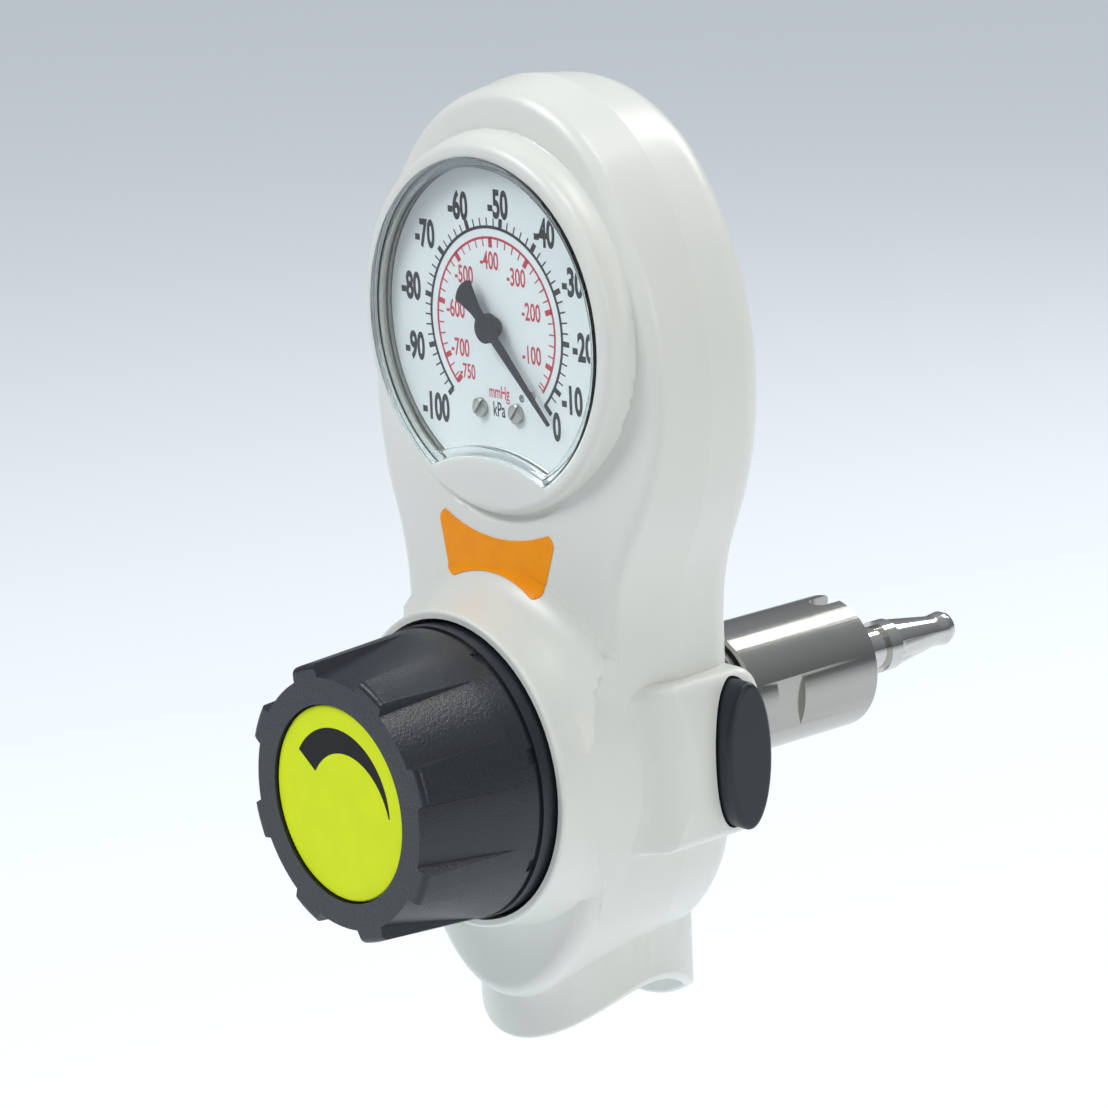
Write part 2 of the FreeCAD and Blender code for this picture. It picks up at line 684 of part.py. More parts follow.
def pod(number, start, stop):
    """Stretch of a pod between two levels."""
    tag = "%s_%s" % (("right", "left")[number], start.split("_")[0])
    depth = box("pod_depth_" + tag, ("-60", start, "pod_low_z - 3"), ("60", stop, "pod_high_z + 3"))
    return shared("pod_" + tag, [pods[number], depth])


# Skirt: tube with an arched and rounded lower edge, flat at the back
skirt_tube = cylinder("skirt_tube", "skirt_radius", "skirt_top_z - skirt_lip_z + 4", vec(0, 0, -1),
                      "0", "skirt_y", "skirt_top_z")
arch = flat_sketch("skirt_arch", "skirt_y + 40")
half = amount("skirt_radius")
rise = amount("skirt_side_z") - amount("skirt_lip_z")
arch_radius = (half * half + rise * rise) / (2 * rise)
wide = half + 2
wide_z = amount("skirt_lip_z") + arch_radius - math.sqrt(arch_radius ** 2 - wide ** 2)
arch.addGeometry(arc_between(vec(-wide, wide_z), vec(wide, wide_z), arch_radius, 1), False)
arch.addGeometry(Part.LineSegment(vec(wide, wide_z), vec(wide, 0)), False)
arch.addGeometry(Part.LineSegment(vec(wide, 0), vec(-wide, 0)), False)
arch.addGeometry(Part.LineSegment(vec(-wide, 0), vec(-wide, wide_z)), False)
skirt_form = extrude("skirt_form", arch, vec(0, -1, 0), "80")
skirt_back = box("skirt_back", ("-40", "-120", "-90"), ("40", "rear_y - 0.05", "skirt_top_z"))



def skirt_hollow(tag):
    """Hollow of the skirt, flat at the back like its outside."""
    bore = cylinder("skirt_bore_" + tag, "skirt_radius - skirt_wall", "30", vec(0, 0, -1), "0", "skirt_y",
                    "skirt_ceiling_z")
    limit = box("skirt_limit_" + tag, ("-40", "-120", "-90"), ("40", "rear_y - skirt_wall", "skirt_ceiling_z"))
    return shared("skirt_hollow_" + tag, [bore, limit])


skirt_inner = skirt_hollow("form")
skirt_block = less("skirt_block", shared("skirt_outer", [skirt_tube, skirt_form, skirt_back]), skirt_inner)
skirt_soft = rounded("skirt_soft", skirt_block, "skirt_lip_round",
                     lambda p: p.z < amount("skirt_side_z") + 0.6
                     and abs(math.hypot(p.x, p.z - amount("skirt_lip_z") - arch_radius) - arch_radius) < 0.02)


def skirt(start, stop, tag):
    """Stretch of the skirt between two levels."""
    depth = box("skirt_depth_" + tag, ("-40", start, "-90"), ("40", stop, "skirt_top_z"))
    return shared("skirt_" + tag, [skirt_soft, depth])


SCREW_PLACES = [("crown", ""), ("waist", ""), ("waist", "-"), ("foot", ""), ("foot", "-")]


def posts(tag, radius, start, length):
    """Cylinders along Y at the five screw places."""
    return [cylinder("%s_%d" % (tag, number), radius, length, BACK, lead + where + "_post_x", start,
                     where + "_post_z")
            for number, (where, lead) in enumerate(SCREW_PLACES, start=1)]


# Front housing: loft from the seam to the front, face cut to its profile
seam_line = flat_sketch("front_seam_line", "seam_y")
housing_curve(seam_line, 0.0, False)
front_line = flat_sketch("front_limit_line", "front_limit_y")
housing_curve(front_line, amount("front_inset"), True)
front_block = loft("front_block", [seam_line, front_line])
face_cut = side_sketch("face_profile")
face_y = amount("face_y")
head_y = amount("head_face_y")
front_y = amount("front_limit_y") - 3
chin_top = amount("chin_top_z")
chin_slope = (face_y - amount("chin_y")) / (chin_top - amount("chin_z"))
head_z = amount("head_face_z")
crown_y = amount("crown_face_y")
crown_z = amount("crown_face_z")
waist_mid = (chin_top + head_z) / 2
face_line = [vec(face_y - chin_slope * (chin_top + 70), -70),
             vec(amount("chin_y"), amount("chin_z")),
             vec(face_y - chin_slope * (chin_top - 6), 6),
             vec(face_y, chin_top), vec((face_y * 3 + head_y) / 4, waist_mid),
             vec(head_y, head_z), vec(head_y + (crown_y - head_y) * 0.15, (head_z + crown_z) / 2),
             vec(crown_y, crown_z), vec(crown_y + (crown_y - head_y) * 1.4, crown_z + 24)]
face_curve = Part.BSplineCurve()
face_curve.interpolate(face_line)
face_cut.addGeometry(face_curve, False)
face_cut.addGeometry(Part.LineSegment(face_line[-1], vec(front_y, face_line[-1].y)), False)
face_cut.addGeometry(Part.LineSegment(vec(front_y, face_line[-1].y), vec(front_y, -70)), False)
face_cut.addGeometry(Part.LineSegment(vec(front_y, -70), face_line[0]), False)
face_tool = doc.addObject("Part::Revolution", "face_tool")
face_tool.Source = face_cut
face_tool.Axis = vec(0, 0, 1)
bind(face_tool, "Base.y", "face_y + face_crown_radius")
face_tool.Angle = 24
face_tool.Symmetric = True
face_tool.Solid = True
front_form = less("front_form", front_block, face_tool)
seam_level = amount("seam_y")
doc.recompute()


def rim_of_face(shape):
    """Edges between the front faces and the sides."""
    owners = {}
    for face in shape.Faces:
        mid = face.Surface.parameter(face.CenterOfMass)
        ahead = face.normalAt(*mid).y < -0.9
        for edge in face.Edges:
            owners.setdefault(edge.hashCode(), []).append(ahead)
    return [number for number, edge in enumerate(shape.Edges, start=1)
            if sorted(owners[edge.hashCode()]) == [False, True]]


front_soft = doc.addObject("Part::Fillet", "front_soft")
front_soft.Base = front_form
edge_size = amount("front_edge_radius")
front_soft.Edges = [(number, edge_size, edge_size) for number in rim_of_face(front_form.Shape)]
doc.recompute()

# Crease under the bezel
crease = side_sketch("crease_profile", "gauge_z")
draw(crease, [("face_y - 6", "crease_inner_radius - 2"), ("face_y + crease_depth", "crease_inner_radius - 2"),
              ("face_y + crease_depth", "crease_inner_radius + 0.3"), ("face_y - 0.4", "crease_radius + 0.3"),
              ("face_y - 6", "crease_radius + 0.3")], {2: ("3.2", 1)})
crease_ring = spin("crease_ring", crease, "gauge_z")
front_creased = less("front_creased", front_soft, crease_ring)

# Bezel ring with its hollow flare
bezel = side_sketch("bezel_profile", "gauge_z")
draw(bezel, [("bezel_front_y", "20"), ("bezel_front_y", "bezel_flat_radius"),
             ("bezel_shoulder_y", "bezel_radius"), ("bezel_flare_y", "bezel_flare_radius"),
             ("cavity_front_y", "bezel_flare_radius"), ("cavity_front_y", "20")],
     {1: ("bezel_round", -1), 2: ("bezel_flare_round", 1)})
bezel_ring = shared("bezel_ring", [spin("bezel_turned", bezel, "gauge_z"), front_block])

# Collar: hollow flare about the knob's axis, trimmed at the sides
flare = side_sketch("flare_profile")
rim_y = amount("collar_rim_y")
rim_r = amount("collar_rim_radius")
base_y = amount("collar_base_y")
base_r = amount("collar_base_radius")
turn_y = rim_y + 0.75
flare_oval = Part.Ellipse(vec(base_y, base_r), vec(turn_y, 2 * base_r - rim_r), vec(turn_y, base_r))
flare.addGeometry(Part.ArcOfEllipse(flare_oval, 3 * math.pi / 2, 2 * math.pi), False)
flare.addGeometry(Part.LineSegment(vec(base_y, base_r), vec(seam_level, base_r)), False)
flare.addGeometry(Part.LineSegment(vec(seam_level, base_r), vec(seam_level, 5)), False)
flare.addGeometry(Part.LineSegment(vec(seam_level, 5), vec(rim_y, 5)), False)
flare.addGeometry(Part.LineSegment(vec(rim_y, 5), vec(rim_y, rim_r - 0.75)), False)
flare.addGeometry(arc_between(vec(rim_y, rim_r - 0.75), vec(turn_y, rim_r), 0.75, -1), False)
flare_solid = spin("flare_solid", flare)
side_forms = []
for tag, middle in (("right", "collar_half_width - collar_side_radius"),
                    ("left", "collar_side_radius - collar_half_width")):
    side_forms.append(cylinder("collar_side_" + tag, "collar_side_radius", "seam_y - collar_rim_y + 2", BACK,
                               middle, "collar_rim_y - 1"))
collar_sides = joined("collar_sides", [shared("collar_lens", side_forms), front_block])
collar_form = shared("collar_form", [flare_solid, collar_sides])
doc.recompute()

front_pods = [pod(number, "pod_front_y - 4", "seam_y") for number in (0, 1)]
front_skirt = skirt("skirt_y - 40", "seam_y", "front")
front_full = joined("front_full", [front_creased, bezel_ring, collar_form, front_skirt] + front_pods)
doc.recompute()

# Hollows of the front housing
hollow_line = flat_sketch("front_hollow_line", "seam_y")
housing_curve(hollow_line, amount("wall") + amount("front_hollow_step"), False)
front_hollow = extrude("front_hollow", hollow_line, vec(0, -1, 0), "seam_y - cavity_front_y")
works_hollow = cylinder("works_hollow", "works_radius", "seam_y - works_front_y", BACK, "0", "works_front_y")
gauge_hollow = cylinder("gauge_hollow", "case_radius + lens_fit", "seam_y - lens_flange_y", BACK,
                        "0", "lens_flange_y", "gauge_z")
cup = cylinder("collar_cup", "collar_bore_radius", "collar_floor_y - collar_rim_y + 5", BACK,
               "0", "collar_rim_y - 5")
neck_hole = cylinder("neck_hole", "neck_radius + lens_fit", "20", BACK, "0", "works_front_y - 10")
front_inside = joined("front_inside", [front_hollow, works_hollow, gauge_hollow])
front_posts = joined("front_posts", posts("front_post", "post_radius", "cavity_front_y", "seam_y - cavity_front_y"))
front_keep = less("front_keep", front_inside, front_posts)
skirt_roof = shared("front_roof", [
    cylinder("front_roof_tube", "skirt_radius", "skirt_roof_z - skirt_ceiling_z", vec(0, 0, -1), "0", "skirt_y",
             "skirt_roof_z"),
    box("front_roof_depth", ("-40", "-90", "-60"), ("40", "seam_y", "0"))])
front_keep_roof = less("front_keep_roof", front_keep, skirt_roof)


def window(name, gap, level, length):
    """Window form: a disc with an arched bite at its foot, grown by a gap."""
    sketch = flat_sketch(name + "_line", level)
    radius = amount("lens_radius") + gap
    half = amount("bite_half_width")
    foot = -math.sqrt(amount("lens_radius") ** 2 - half ** 2)
    bite = amount("bite_radius")
    centre = foot - math.sqrt(bite ** 2 - half ** 2)
    reach = bite - gap
    cross = (radius ** 2 - reach ** 2 + centre ** 2) / (2 * centre)
    side = math.sqrt(radius ** 2 - cross ** 2)
    up = amount("gauge_z")
    left = vec(-side, cross + up)
    right = vec(side, cross + up)
    a0 = math.atan2(cross, side)
    a1 = math.atan2(cross, -side) + 2 * math.pi
    sketch.addGeometry(Part.ArcOfCircle(Part.Circle(vec(0, up), vec(0, 0, 1), radius), a0, a1), False)
    sketch.addGeometry(arc_between(left, right, reach, -1), False)
    return extrude(name, sketch, vec(0, 1, 0), length)


front_window = window("front_window", amount("lens_fit"), "lens_front_y - 3", "lens_flange_y - lens_front_y + 4")
pilots = posts("pilot", "pilot_radius", "cavity_front_y + 1.2", "seam_y - cavity_front_y")
front_tools = joined("front_tools", [cup, neck_hole, front_window, skirt_hollow("front")] + pilots)
front_hollowed = less("front_hollowed", front_full, front_keep_roof)
port_hole_front = cylinder("port_hole_front", "port_nut_radius + lens_fit", "20", vec(0, 0, -1), "0", "skirt_y",
                           "skirt_roof_z + 1")
front_open = less("front_open", front_hollowed, front_tools)
front_housing = less("front_housing", front_open, port_hole_front)
front_housing.Label = "front_housing"

# Rear housing: loft from the seam to the rear face with a large rounding
rear_seam = flat_sketch("rear_seam_line", "seam_y")
housing_curve(rear_seam, 0.0, False)
rear_line = flat_sketch("rear_face_line", "rear_y")
housing_curve(rear_line, amount("rear_inset"), False)
rear_block = loft("rear_block", [rear_seam, rear_line])
rear_soft = rounded("rear_soft", rear_block, "rear_edge_radius", lambda p: near(p.y, "rear_y"))
rear_pods = [pod(number, "seam_y", "pod_rear_y + 1") for number in (0, 1)]
rear_skirt = skirt("seam_y", "skirt_y + 40", "rear")
boss = side_sketch("boss_profile")
draw(boss, [("rear_y - 1", "3"), ("boss_end_y", "3"), ("boss_end_y", "boss_radius"),
            ("boss_end_y - 7", "boss_radius"), ("rear_y", "boss_base_radius"),
            ("rear_y - 1", "boss_base_radius")], {3: ("5.6", 1)})
boss_solid = spin("boss_solid", boss)
rear_full = joined("rear_full", [rear_soft, rear_skirt, boss_solid] + rear_pods)
rear_hollow_seam = flat_sketch("rear_hollow_seam", "seam_y")
housing_curve(rear_hollow_seam, amount("wall"), False)
rear_hollow_end = flat_sketch("rear_hollow_end", "rear_y - wall")
lean = math.tan(math.radians(amount("cavity_lean"))) * (amount("rear_y") - amount("wall") - amount("seam_y"))
housing_curve(rear_hollow_end, amount("wall") + lean, False)
rear_hollow = loft("rear_hollow", [rear_hollow_seam, rear_hollow_end])
rear_posts = joined("rear_posts", posts("rear_post", "post_radius", "seam_y", "rear_y - seam_y"))
rear_keep = less("rear_keep", rear_hollow, rear_posts)
rear_roof = shared("rear_roof", [
    cylinder("rear_roof_tube", "skirt_radius", "skirt_roof_z - skirt_ceiling_z", vec(0, 0, -1), "0", "skirt_y",
             "skirt_roof_z"),
    box("rear_roof_depth", ("-40", "seam_y", "-60"), ("40", "rear_y - 4", "0"))])
rear_keep_roof = less("rear_keep_roof", rear_keep, rear_roof)
shafts = posts("screw_way", "pilot_radius + 0.4", "seam_y - 1", "rear_y - seam_y + 5")
sinks = posts("screw_sink", "screw_head_radius + 0.3", "rear_y - screw_head_deep - screw_sink", "20")
openings = []
for side, tag in ((1, "right"), (-1, "left")):
    view = doc.addObject("Sketcher::SketchObject", "button_hole_line_" + tag)
    view.Placement = FreeCAD.Placement(vec(0, 0), FreeCAD.Rotation(vec(1, 1, 1), 120))
    oval(view, "button_y", "button_z", "button_half_deep + button_gap", "button_half_tall + button_gap")
    openings.append(extrude("button_hole_" + tag, view, vec(side, 0, 0), "60"))
stub_hole = cylinder("stub_hole", "stub_radius + lens_fit", "40", BACK, "0", "rear_y - 10")
rear_tools = joined("rear_tools", openings + [stub_hole, skirt_hollow("rear")] + shafts + sinks)
port_hole_rear = cylinder("port_hole_rear", "port_nut_radius + lens_fit", "20", vec(0, 0, -1), "0", "skirt_y",
                          "skirt_roof_z + 1")
rear_hollowed = less("rear_hollowed", rear_full, rear_keep_roof)
rear_open = less("rear_open", rear_hollowed, rear_tools)
rear_housing = less("rear_housing", rear_open, port_hole_rear)
rear_housing.Label = "rear_housing"
doc.recompute()


# Housing screws: five equal pan-head screws from behind
screws = []
for number, (where, lead) in enumerate(SCREW_PLACES, start=1):
    level = "rear_y - screw_head_deep - screw_sink"
    head = cylinder("screw_head_%d" % number, "screw_head_radius", "screw_head_deep", BACK,
                    lead + where + "_post_x", level, where + "_post_z")
    shank = cylinder("screw_shank_%d" % number, "pilot_radius", "screw_reach", vec(0, -1, 0),
                     lead + where + "_post_x", level + " + 0.2", where + "_post_z")
    drive = doc.addObject("Part::Prism", "screw_drive_%d" % number)
    drive.Polygon = 6
    bind(drive, "Circumradius", "screw_head_radius - 1.3")
    drive.Height = 1.2
    drive.Placement.Rotation = FreeCAD.Rotation(vec(0, 0, 1), BACK)
    place(drive, lead + where + "_post_x", level + " + screw_head_deep - 1", where + "_post_z")
    solid = joined("screw_%d" % number, [head, shank])
    screws.append(less("screw_done_%d" % number, solid, drive))
housing_screws = doc.addObject("Part::Compound", "housing_screws")
housing_screws.Links = screws
housing_screws.Label = "housing_screws"

# Lens: window plate with a side wall and a flange behind the bezel
lens_face = window("lens_face", 0.0, "lens_front_y", "lens_flange_y - lens_front_y + 0.3")
lens_flange = cylinder("lens_flange", "lens_flange_radius", "lens_back_y - lens_flange_y", BACK, "0",
                       "lens_flange_y", "gauge_z")
lens_inside = window("lens_inside", -amount("lens_thick"), "lens_front_y + lens_thick", "8")
lens_rim = cylinder("lens_rim", "lens_radius - lens_thick", "3", BACK, "0", "lens_flange_y + 0.3", "gauge_z")
lens_full = joined("lens_full", [lens_face, lens_flange])
lens_tool = joined("lens_tool", [lens_inside, lens_rim])
gauge_lens = less("gauge_lens", lens_full, lens_tool)
gauge_lens.Label = "gauge_lens"

# Gauge case: cup with a ledge for the dial
case = new_body("gauge_case")
place(case, z="gauge_z")
case_line = new_sketch(case, "case_line", "YZ_Plane")
draw(case_line, [("case_back_y", "0"), ("case_back_y", "case_radius - lens_fit"),
                 ("lens_back_y", "case_radius - lens_fit"), ("lens_back_y", "dial_radius + lens_fit"),
                 ("dial_y + dial_thick", "dial_radius + lens_fit"), ("dial_y + dial_thick", "case_radius - case_ledge"),
                 ("dial_y + case_ledge", "case_radius - case_ledge"),
                 ("dial_y + case_ledge", "case_radius - case_wall"),
                 ("case_back_y - case_wall", "case_radius - case_wall"), ("case_back_y - case_wall", "0")])
turn(case, case_line)
stem_way = new_sketch(case, "stem_way", "XY_Plane", "-30")
ring(stem_way, "0", "tube_mid_y", "stem_radius + pivot_fit")
pocket(case, stem_way, "8")

# Dial plate, its two screws and the stop pin
dial = new_body("dial_plate")
place(dial, z="gauge_z")
dial_line = new_sketch(dial, "dial_line", "XZ_Plane", "-dial_y - dial_thick")
ring(dial_line, "0", "0", "dial_radius")
ring(dial_line, "0", "0", "arbor_radius + 1")
for lead in ("", "-"):
    ring(dial_line, lead + "dial_screw_x", "dial_screw_z", "dial_screw_radius - 0.85")
ring(dial_line, "stop_pin_x", "stop_pin_z", "stop_pin_radius - 0.1")
pad(dial, dial_line, "dial_thick")
dial_screws = new_body("dial_screws")
place(dial_screws, z="gauge_z")
shank_line = new_sketch(dial_screws, "dial_shank", "XZ_Plane", "-plate_front_y - plate_thick")
for lead in ("", "-"):
    ring(shank_line, lead + "dial_screw_x", "dial_screw_z", "dial_screw_radius - 0.95")
pad(dial_screws, shank_line, "plate_front_y + plate_thick - dial_y + 0.3")
head_line = new_sketch(dial_screws, "dial_head", "XZ_Plane", "-dial_y")
for lead in ("", "-"):
    ring(head_line, lead + "dial_screw_x", "dial_screw_z", "dial_screw_radius")
pad(dial_screws, head_line, "0.9")
soften(dial_screws, "0.35", lambda p: near(p.y, "dial_y - 0.9"))
slot_line = new_sketch(dial_screws, "dial_slot", "XZ_Plane", "-dial_y + 0.9")
for lead in (1, -1):
    mid = vec(lead * amount("dial_screw_x"), amount("dial_screw_z"))
    along = vec(math.cos(math.radians(52)), math.sin(math.radians(52))) * 2.2
    across = vec(-along.y, along.x) * (0.24 / 2.2)
    marks = [mid - along - across, mid + along - across, mid + along + across, mid - along + across]
    for number in range(4):
        slot_line.addGeometry(Part.LineSegment(marks[number], marks[(number + 1) % 4]), False)
pocket(dial_screws, slot_line, "0.5", False)
stop_pin = new_body("stop_pin")
place(stop_pin, z="gauge_z")
pin_line = new_sketch(stop_pin, "pin_line", "XZ_Plane", "-dial_y")
ring(pin_line, "stop_pin_x", "stop_pin_z", "stop_pin_radius")
pad(stop_pin, pin_line, "2.5")
pin_foot = new_sketch(stop_pin, "pin_foot", "XZ_Plane", "-dial_y - dial_thick")
ring(pin_foot, "stop_pin_x", "stop_pin_z", "stop_pin_radius - 0.15")
pad(stop_pin, pin_foot, "dial_thick + 0.2")

# Pointer: tapered needle with a spade tail, resting at the zero mark
pointer = new_body("pointer")
place(pointer, z="gauge_z")
turn_angle = math.radians(90 - amount("needle_angle"))
needle_line = new_sketch(pointer, "needle_line", "XZ_Plane", "-needle_y - needle_thick")
ahead = vec(math.cos(turn_angle), math.sin(turn_angle))
beside = vec(-ahead.y, ahead.x)
reach = amount("needle_reach")
tail = amount("tail_reach")
half_plan = [(reach, 0.28), (2.0, 0.95), (-2.0, 1.0), (-4.6, 1.35), (-tail + 0.9, 2.65)]
right_side = [ahead * a + beside * b for a, b in half_plan]
left_side = [ahead * a - beside * b for a, b in half_plan]
for points in (right_side, left_side):
    for first, last in zip(points, points[1:]):
        needle_line.addGeometry(Part.LineSegment(first, last), False)
needle_line.addGeometry(Part.LineSegment(left_side[0], right_side[0]), False)
tail_curve = Part.Arc(right_side[-1], ahead * -tail, left_side[-1])
needle_line.addGeometry(tail_curve, False)
pad(pointer, needle_line, "needle_thick")
hub_line = new_sketch(pointer, "hub_line", "XZ_Plane", "-needle_y - needle_thick - 0.5")
ring(hub_line, "0", "0", "hub_radius")
pad(pointer, hub_line, "1.5")
bore_line = new_sketch(pointer, "hub_bore", "XZ_Plane", "-needle_y - needle_thick - 0.5")
ring(bore_line, "0", "0", "arbor_radius")
pocket(pointer, bore_line, "1.4", True)

# Pinion on the pointer's shaft and the sector gear that drives it
def gear_outline(sketch, pitch, teeth, first, last, turn_by, centre=(0.0, 0.0)):
    """Teeth from number first to last with straight flanks; returns both ends of the line."""
    half = amount("tooth_half")
    step_angle = 2 * math.pi / teeth
    marks = []
    for number in range(first, last + 1):
        middle = turn_by + number * step_angle
        for shift, radius in ((-0.30, pitch - half), (-0.12, pitch + half), (0.12, pitch + half),
                              (0.30, pitch - half)):
            angle = middle + shift * step_angle
            marks.append(vec(centre[0] + radius * math.cos(angle), centre[1] + radius * math.sin(angle)))
    for start, stop in zip(marks, marks[1:]):
        sketch.addGeometry(Part.LineSegment(start, stop), False)
    return marks


pinion = new_body("pinion_arbor")
place(pinion, z="gauge_z")
arbor_line = new_sketch(pinion, "arbor_line", "XZ_Plane", "-plate_back_y - plate_thick")
ring(arbor_line, "0", "0", "arbor_radius")
pad(pinion, arbor_line, "plate_back_y + plate_thick - needle_y")
pinion_line = new_sketch(pinion, "pinion_line", "XZ_Plane", "-gear_front_y - gear_thick")
PINION_TEETH = 12
teeth = gear_outline(pinion_line, amount("pinion_pitch"), PINION_TEETH, 0, PINION_TEETH - 1,
                     math.pi / 2 + math.pi / PINION_TEETH)
pinion_line.addGeometry(Part.LineSegment(teeth[-1], teeth[0]), False)
pad(pinion, pinion_line, "gear_thick")

sector = new_body("sector_gear")
place(sector, z="gauge_z")
SECTOR_TEETH = 120
drop = amount("pinion_pitch") + amount("sector_pitch") + 0.02
sector_line = new_sketch(sector, "sector_line", "XZ_Plane", "-gear_front_y - gear_thick")
teeth = gear_outline(sector_line, amount("sector_pitch"), SECTOR_TEETH, -1, 10, -math.pi / 2, (0.0, drop))
hub = 2.2
left_hub = vec(-hub, drop)
right_hub = vec(hub, drop)
sector_line.addGeometry(Part.LineSegment(teeth[-1], right_hub), False)
sector_line.addGeometry(arc_between(right_hub, left_hub, hub, 1), False)
sector_line.addGeometry(Part.LineSegment(left_hub, teeth[0]), False)
pad(sector, sector_line, "gear_thick")
pivot_line = new_sketch(sector, "pivot_line", "XZ_Plane", "-plate_back_y - 0.7")
pivot_line.addGeometry(Part.Circle(vec(0, drop), vec(0, 0, 1), 0.8), False)
pad(sector, pivot_line, "plate_back_y + 0.7 - plate_front_y - 0.3")

frame = new_body("movement_frame")
place(frame, z="gauge_z")
for name, level in (("front_plate", "plate_front_y"), ("rear_plate", "plate_back_y")):
    plate = new_sketch(frame, name, "XZ_Plane", "-" + level + " - plate_thick")
    draw(plate, [("-9", "-18"), ("9", "-18"), ("9", "19"), ("-9", "19")])
    ring(plate, "0", "0", "arbor_radius + pivot_fit")
    plate.addGeometry(Part.Circle(vec(0, drop), vec(0, 0, 1), 0.8 + amount("pivot_fit")), False)
    for lead in ("", "-"):
        if name == "front_plate":
            ring(plate, lead + "dial_screw_x", "dial_screw_z", "dial_screw_radius - 0.9")
    if name == "front_plate":
        pad(frame, plate, "plate_thick")
        pillars = new_sketch(frame, "pillars", "XZ_Plane", "-plate_back_y - plate_thick")
        for x, z in (("-7", "-10"), ("7", "-10"), ("-7.4", "17.4"), ("7.4", "17.4")):
            ring(pillars, x, z, "1.2")
        pad(frame, pillars, "plate_back_y - plate_front_y + 0.5")
    else:
        pad(frame, plate, "plate_thick")
studs = new_sketch(frame, "studs", "XZ_Plane", "-plate_front_y - 0.5")
for lead in ("", "-"):
    ring(studs, lead + "dial_screw_x", "dial_screw_z", "dial_screw_radius + 0.2")
    ring(studs, lead + "dial_screw_x", "dial_screw_z", "dial_screw_radius - 0.9")
pad(frame, studs, "plate_front_y + 0.5 - dial_y - dial_thick")
foot_line = new_sketch(frame, "frame_foot", "XZ_Plane", "-case_back_y + case_wall")
for x, z in (("-7", "-16"), ("7", "-16"), ("-7", "17"), ("7", "17")):
    ring(foot_line, x, z, "1.5")
pad(frame, foot_line, "case_back_y - case_wall - plate_back_y - 0.5")

# Bourdon tube: flat tube bent round the gauge's axis, closed at its tip
def tube_section(sketch, wall):
    """Flat section of the tube below the gauge's axis, drawn in by its wall."""
    front = "tube_mid_y - tube_half_deep + " + wall
    back = "tube_mid_y + tube_half_deep - " + wall
    outer = "-tube_radius - tube_half_thick + " + wall
    inner = "-tube_radius + tube_half_thick - " + wall
    draw(sketch, [(front, outer), (back, outer), (back, inner), (front, inner)])


bourdon = new_body("bourdon_tube")
place(bourdon, z="gauge_z")
tube_line = new_sketch(bourdon, "tube_line", "YZ_Plane")
tube_section(tube_line, "0")
bind(turn(bourdon, tube_line), "Angle", "tube_sweep")
doc.recompute()
bore_line = new_sketch(bourdon, "tube_bore", "YZ_Plane")
tube_section(bore_line, "tube_wall")
hollow = bourdon.newObject("PartDesign::Groove", "tube_hollow")
hollow.Profile = bore_line
hollow.ReferenceAxis = (bore_line, ["H_Axis"])
bind(hollow, "Angle", "tube_sweep - 2")
doc.recompute()

# Gauge stem: foot of the Bourdon tube, through the case to the valve block
stem = new_body("gauge_stem")
place(stem, z="gauge_z")
stem_line = new_sketch(stem, "stem_line", "XY_Plane", "upper_arm_z - gauge_z")
ring(stem_line, "0", "tube_mid_y", "stem_radius")
pad(stem, stem_line, "gauge_z - upper_arm_z - case_radius + case_wall + 0.5")
socket_line = new_sketch(stem, "socket_line", "XY_Plane", "case_wall - case_radius + 0.4")
draw(socket_line, [("-4.2", "tube_mid_y - 4.2"), ("4.2", "tube_mid_y - 4.2"),
                   ("4.2", "tube_mid_y + 4.2"), ("-4.2", "tube_mid_y + 4.2")])
pad(stem, socket_line, "case_radius - case_wall - 0.4 - tube_radius + tube_half_thick + 1")
seat_line = new_sketch(stem, "tube_seat", "YZ_Plane")
tube_section(seat_line, "0")
tube_seat = stem.newObject("PartDesign::Groove", "tube_seat_cut")
tube_seat.Profile = seat_line
tube_seat.ReferenceAxis = (seat_line, ["H_Axis"])
bind(tube_seat, "Angle", "tube_sweep")
doc.recompute()
stem_bore = new_sketch(stem, "stem_bore", "XY_Plane", "upper_arm_z - gauge_z")
ring(stem_bore, "0", "tube_mid_y", "passage_radius")
pocket(stem, stem_bore, "gauge_z - upper_arm_z - tube_radius - tube_half_thick - 1", True)

# Knob: cone with eight hollow recesses, thin inner ring and hub
knob = new_body("knob")
knob_line = new_sketch(knob, "knob_line", "YZ_Plane")
draw(knob_line, [("knob_front_y", "disc_radius + disc_gap"), ("knob_front_y", "knob_front_radius"),
                 ("knob_rim_y", "knob_rear_radius - 0.3"), ("knob_rim_y", "knob_rear_radius - 0.3 - knob_rim_step"),
                 ("knob_rim_y + 0.8", "knob_rear_radius - 0.3 - knob_rim_step"),
                 ("knob_rim_y + 0.8", "knob_rear_radius"),
                 ("knob_rear_y", "knob_rear_radius"), ("knob_rear_y", "knob_rear_radius - knob_wall"),
                 ("disc_y + disc_thick + knob_wall", "knob_front_radius - knob_wall - 1.5"),
                 ("disc_y + disc_thick + knob_wall", "8"),
                 ("spindle_front_y + 15", "7.4"), ("spindle_front_y + 15", "spindle_radius"),
                 ("spindle_front_y - 0.4", "spindle_radius"), ("spindle_front_y - 0.4", "2.1"),
                 ("disc_y + disc_thick", "2.1"), ("disc_y + disc_thick", "disc_radius + disc_gap")])
turn(knob, knob_line)
soften(knob, "knob_edge", lambda p: near(p.y, "knob_front_y") and math.hypot(p.x, p.z) > 20)
recess_front = new_sketch(knob, "recess_front", "XZ_Plane", "-knob_front_y + 1")
recess_back = new_sketch(knob, "recess_back", "XZ_Plane", "-recess_end_y")
first_turn = math.radians(90 - amount("recess_turn"))


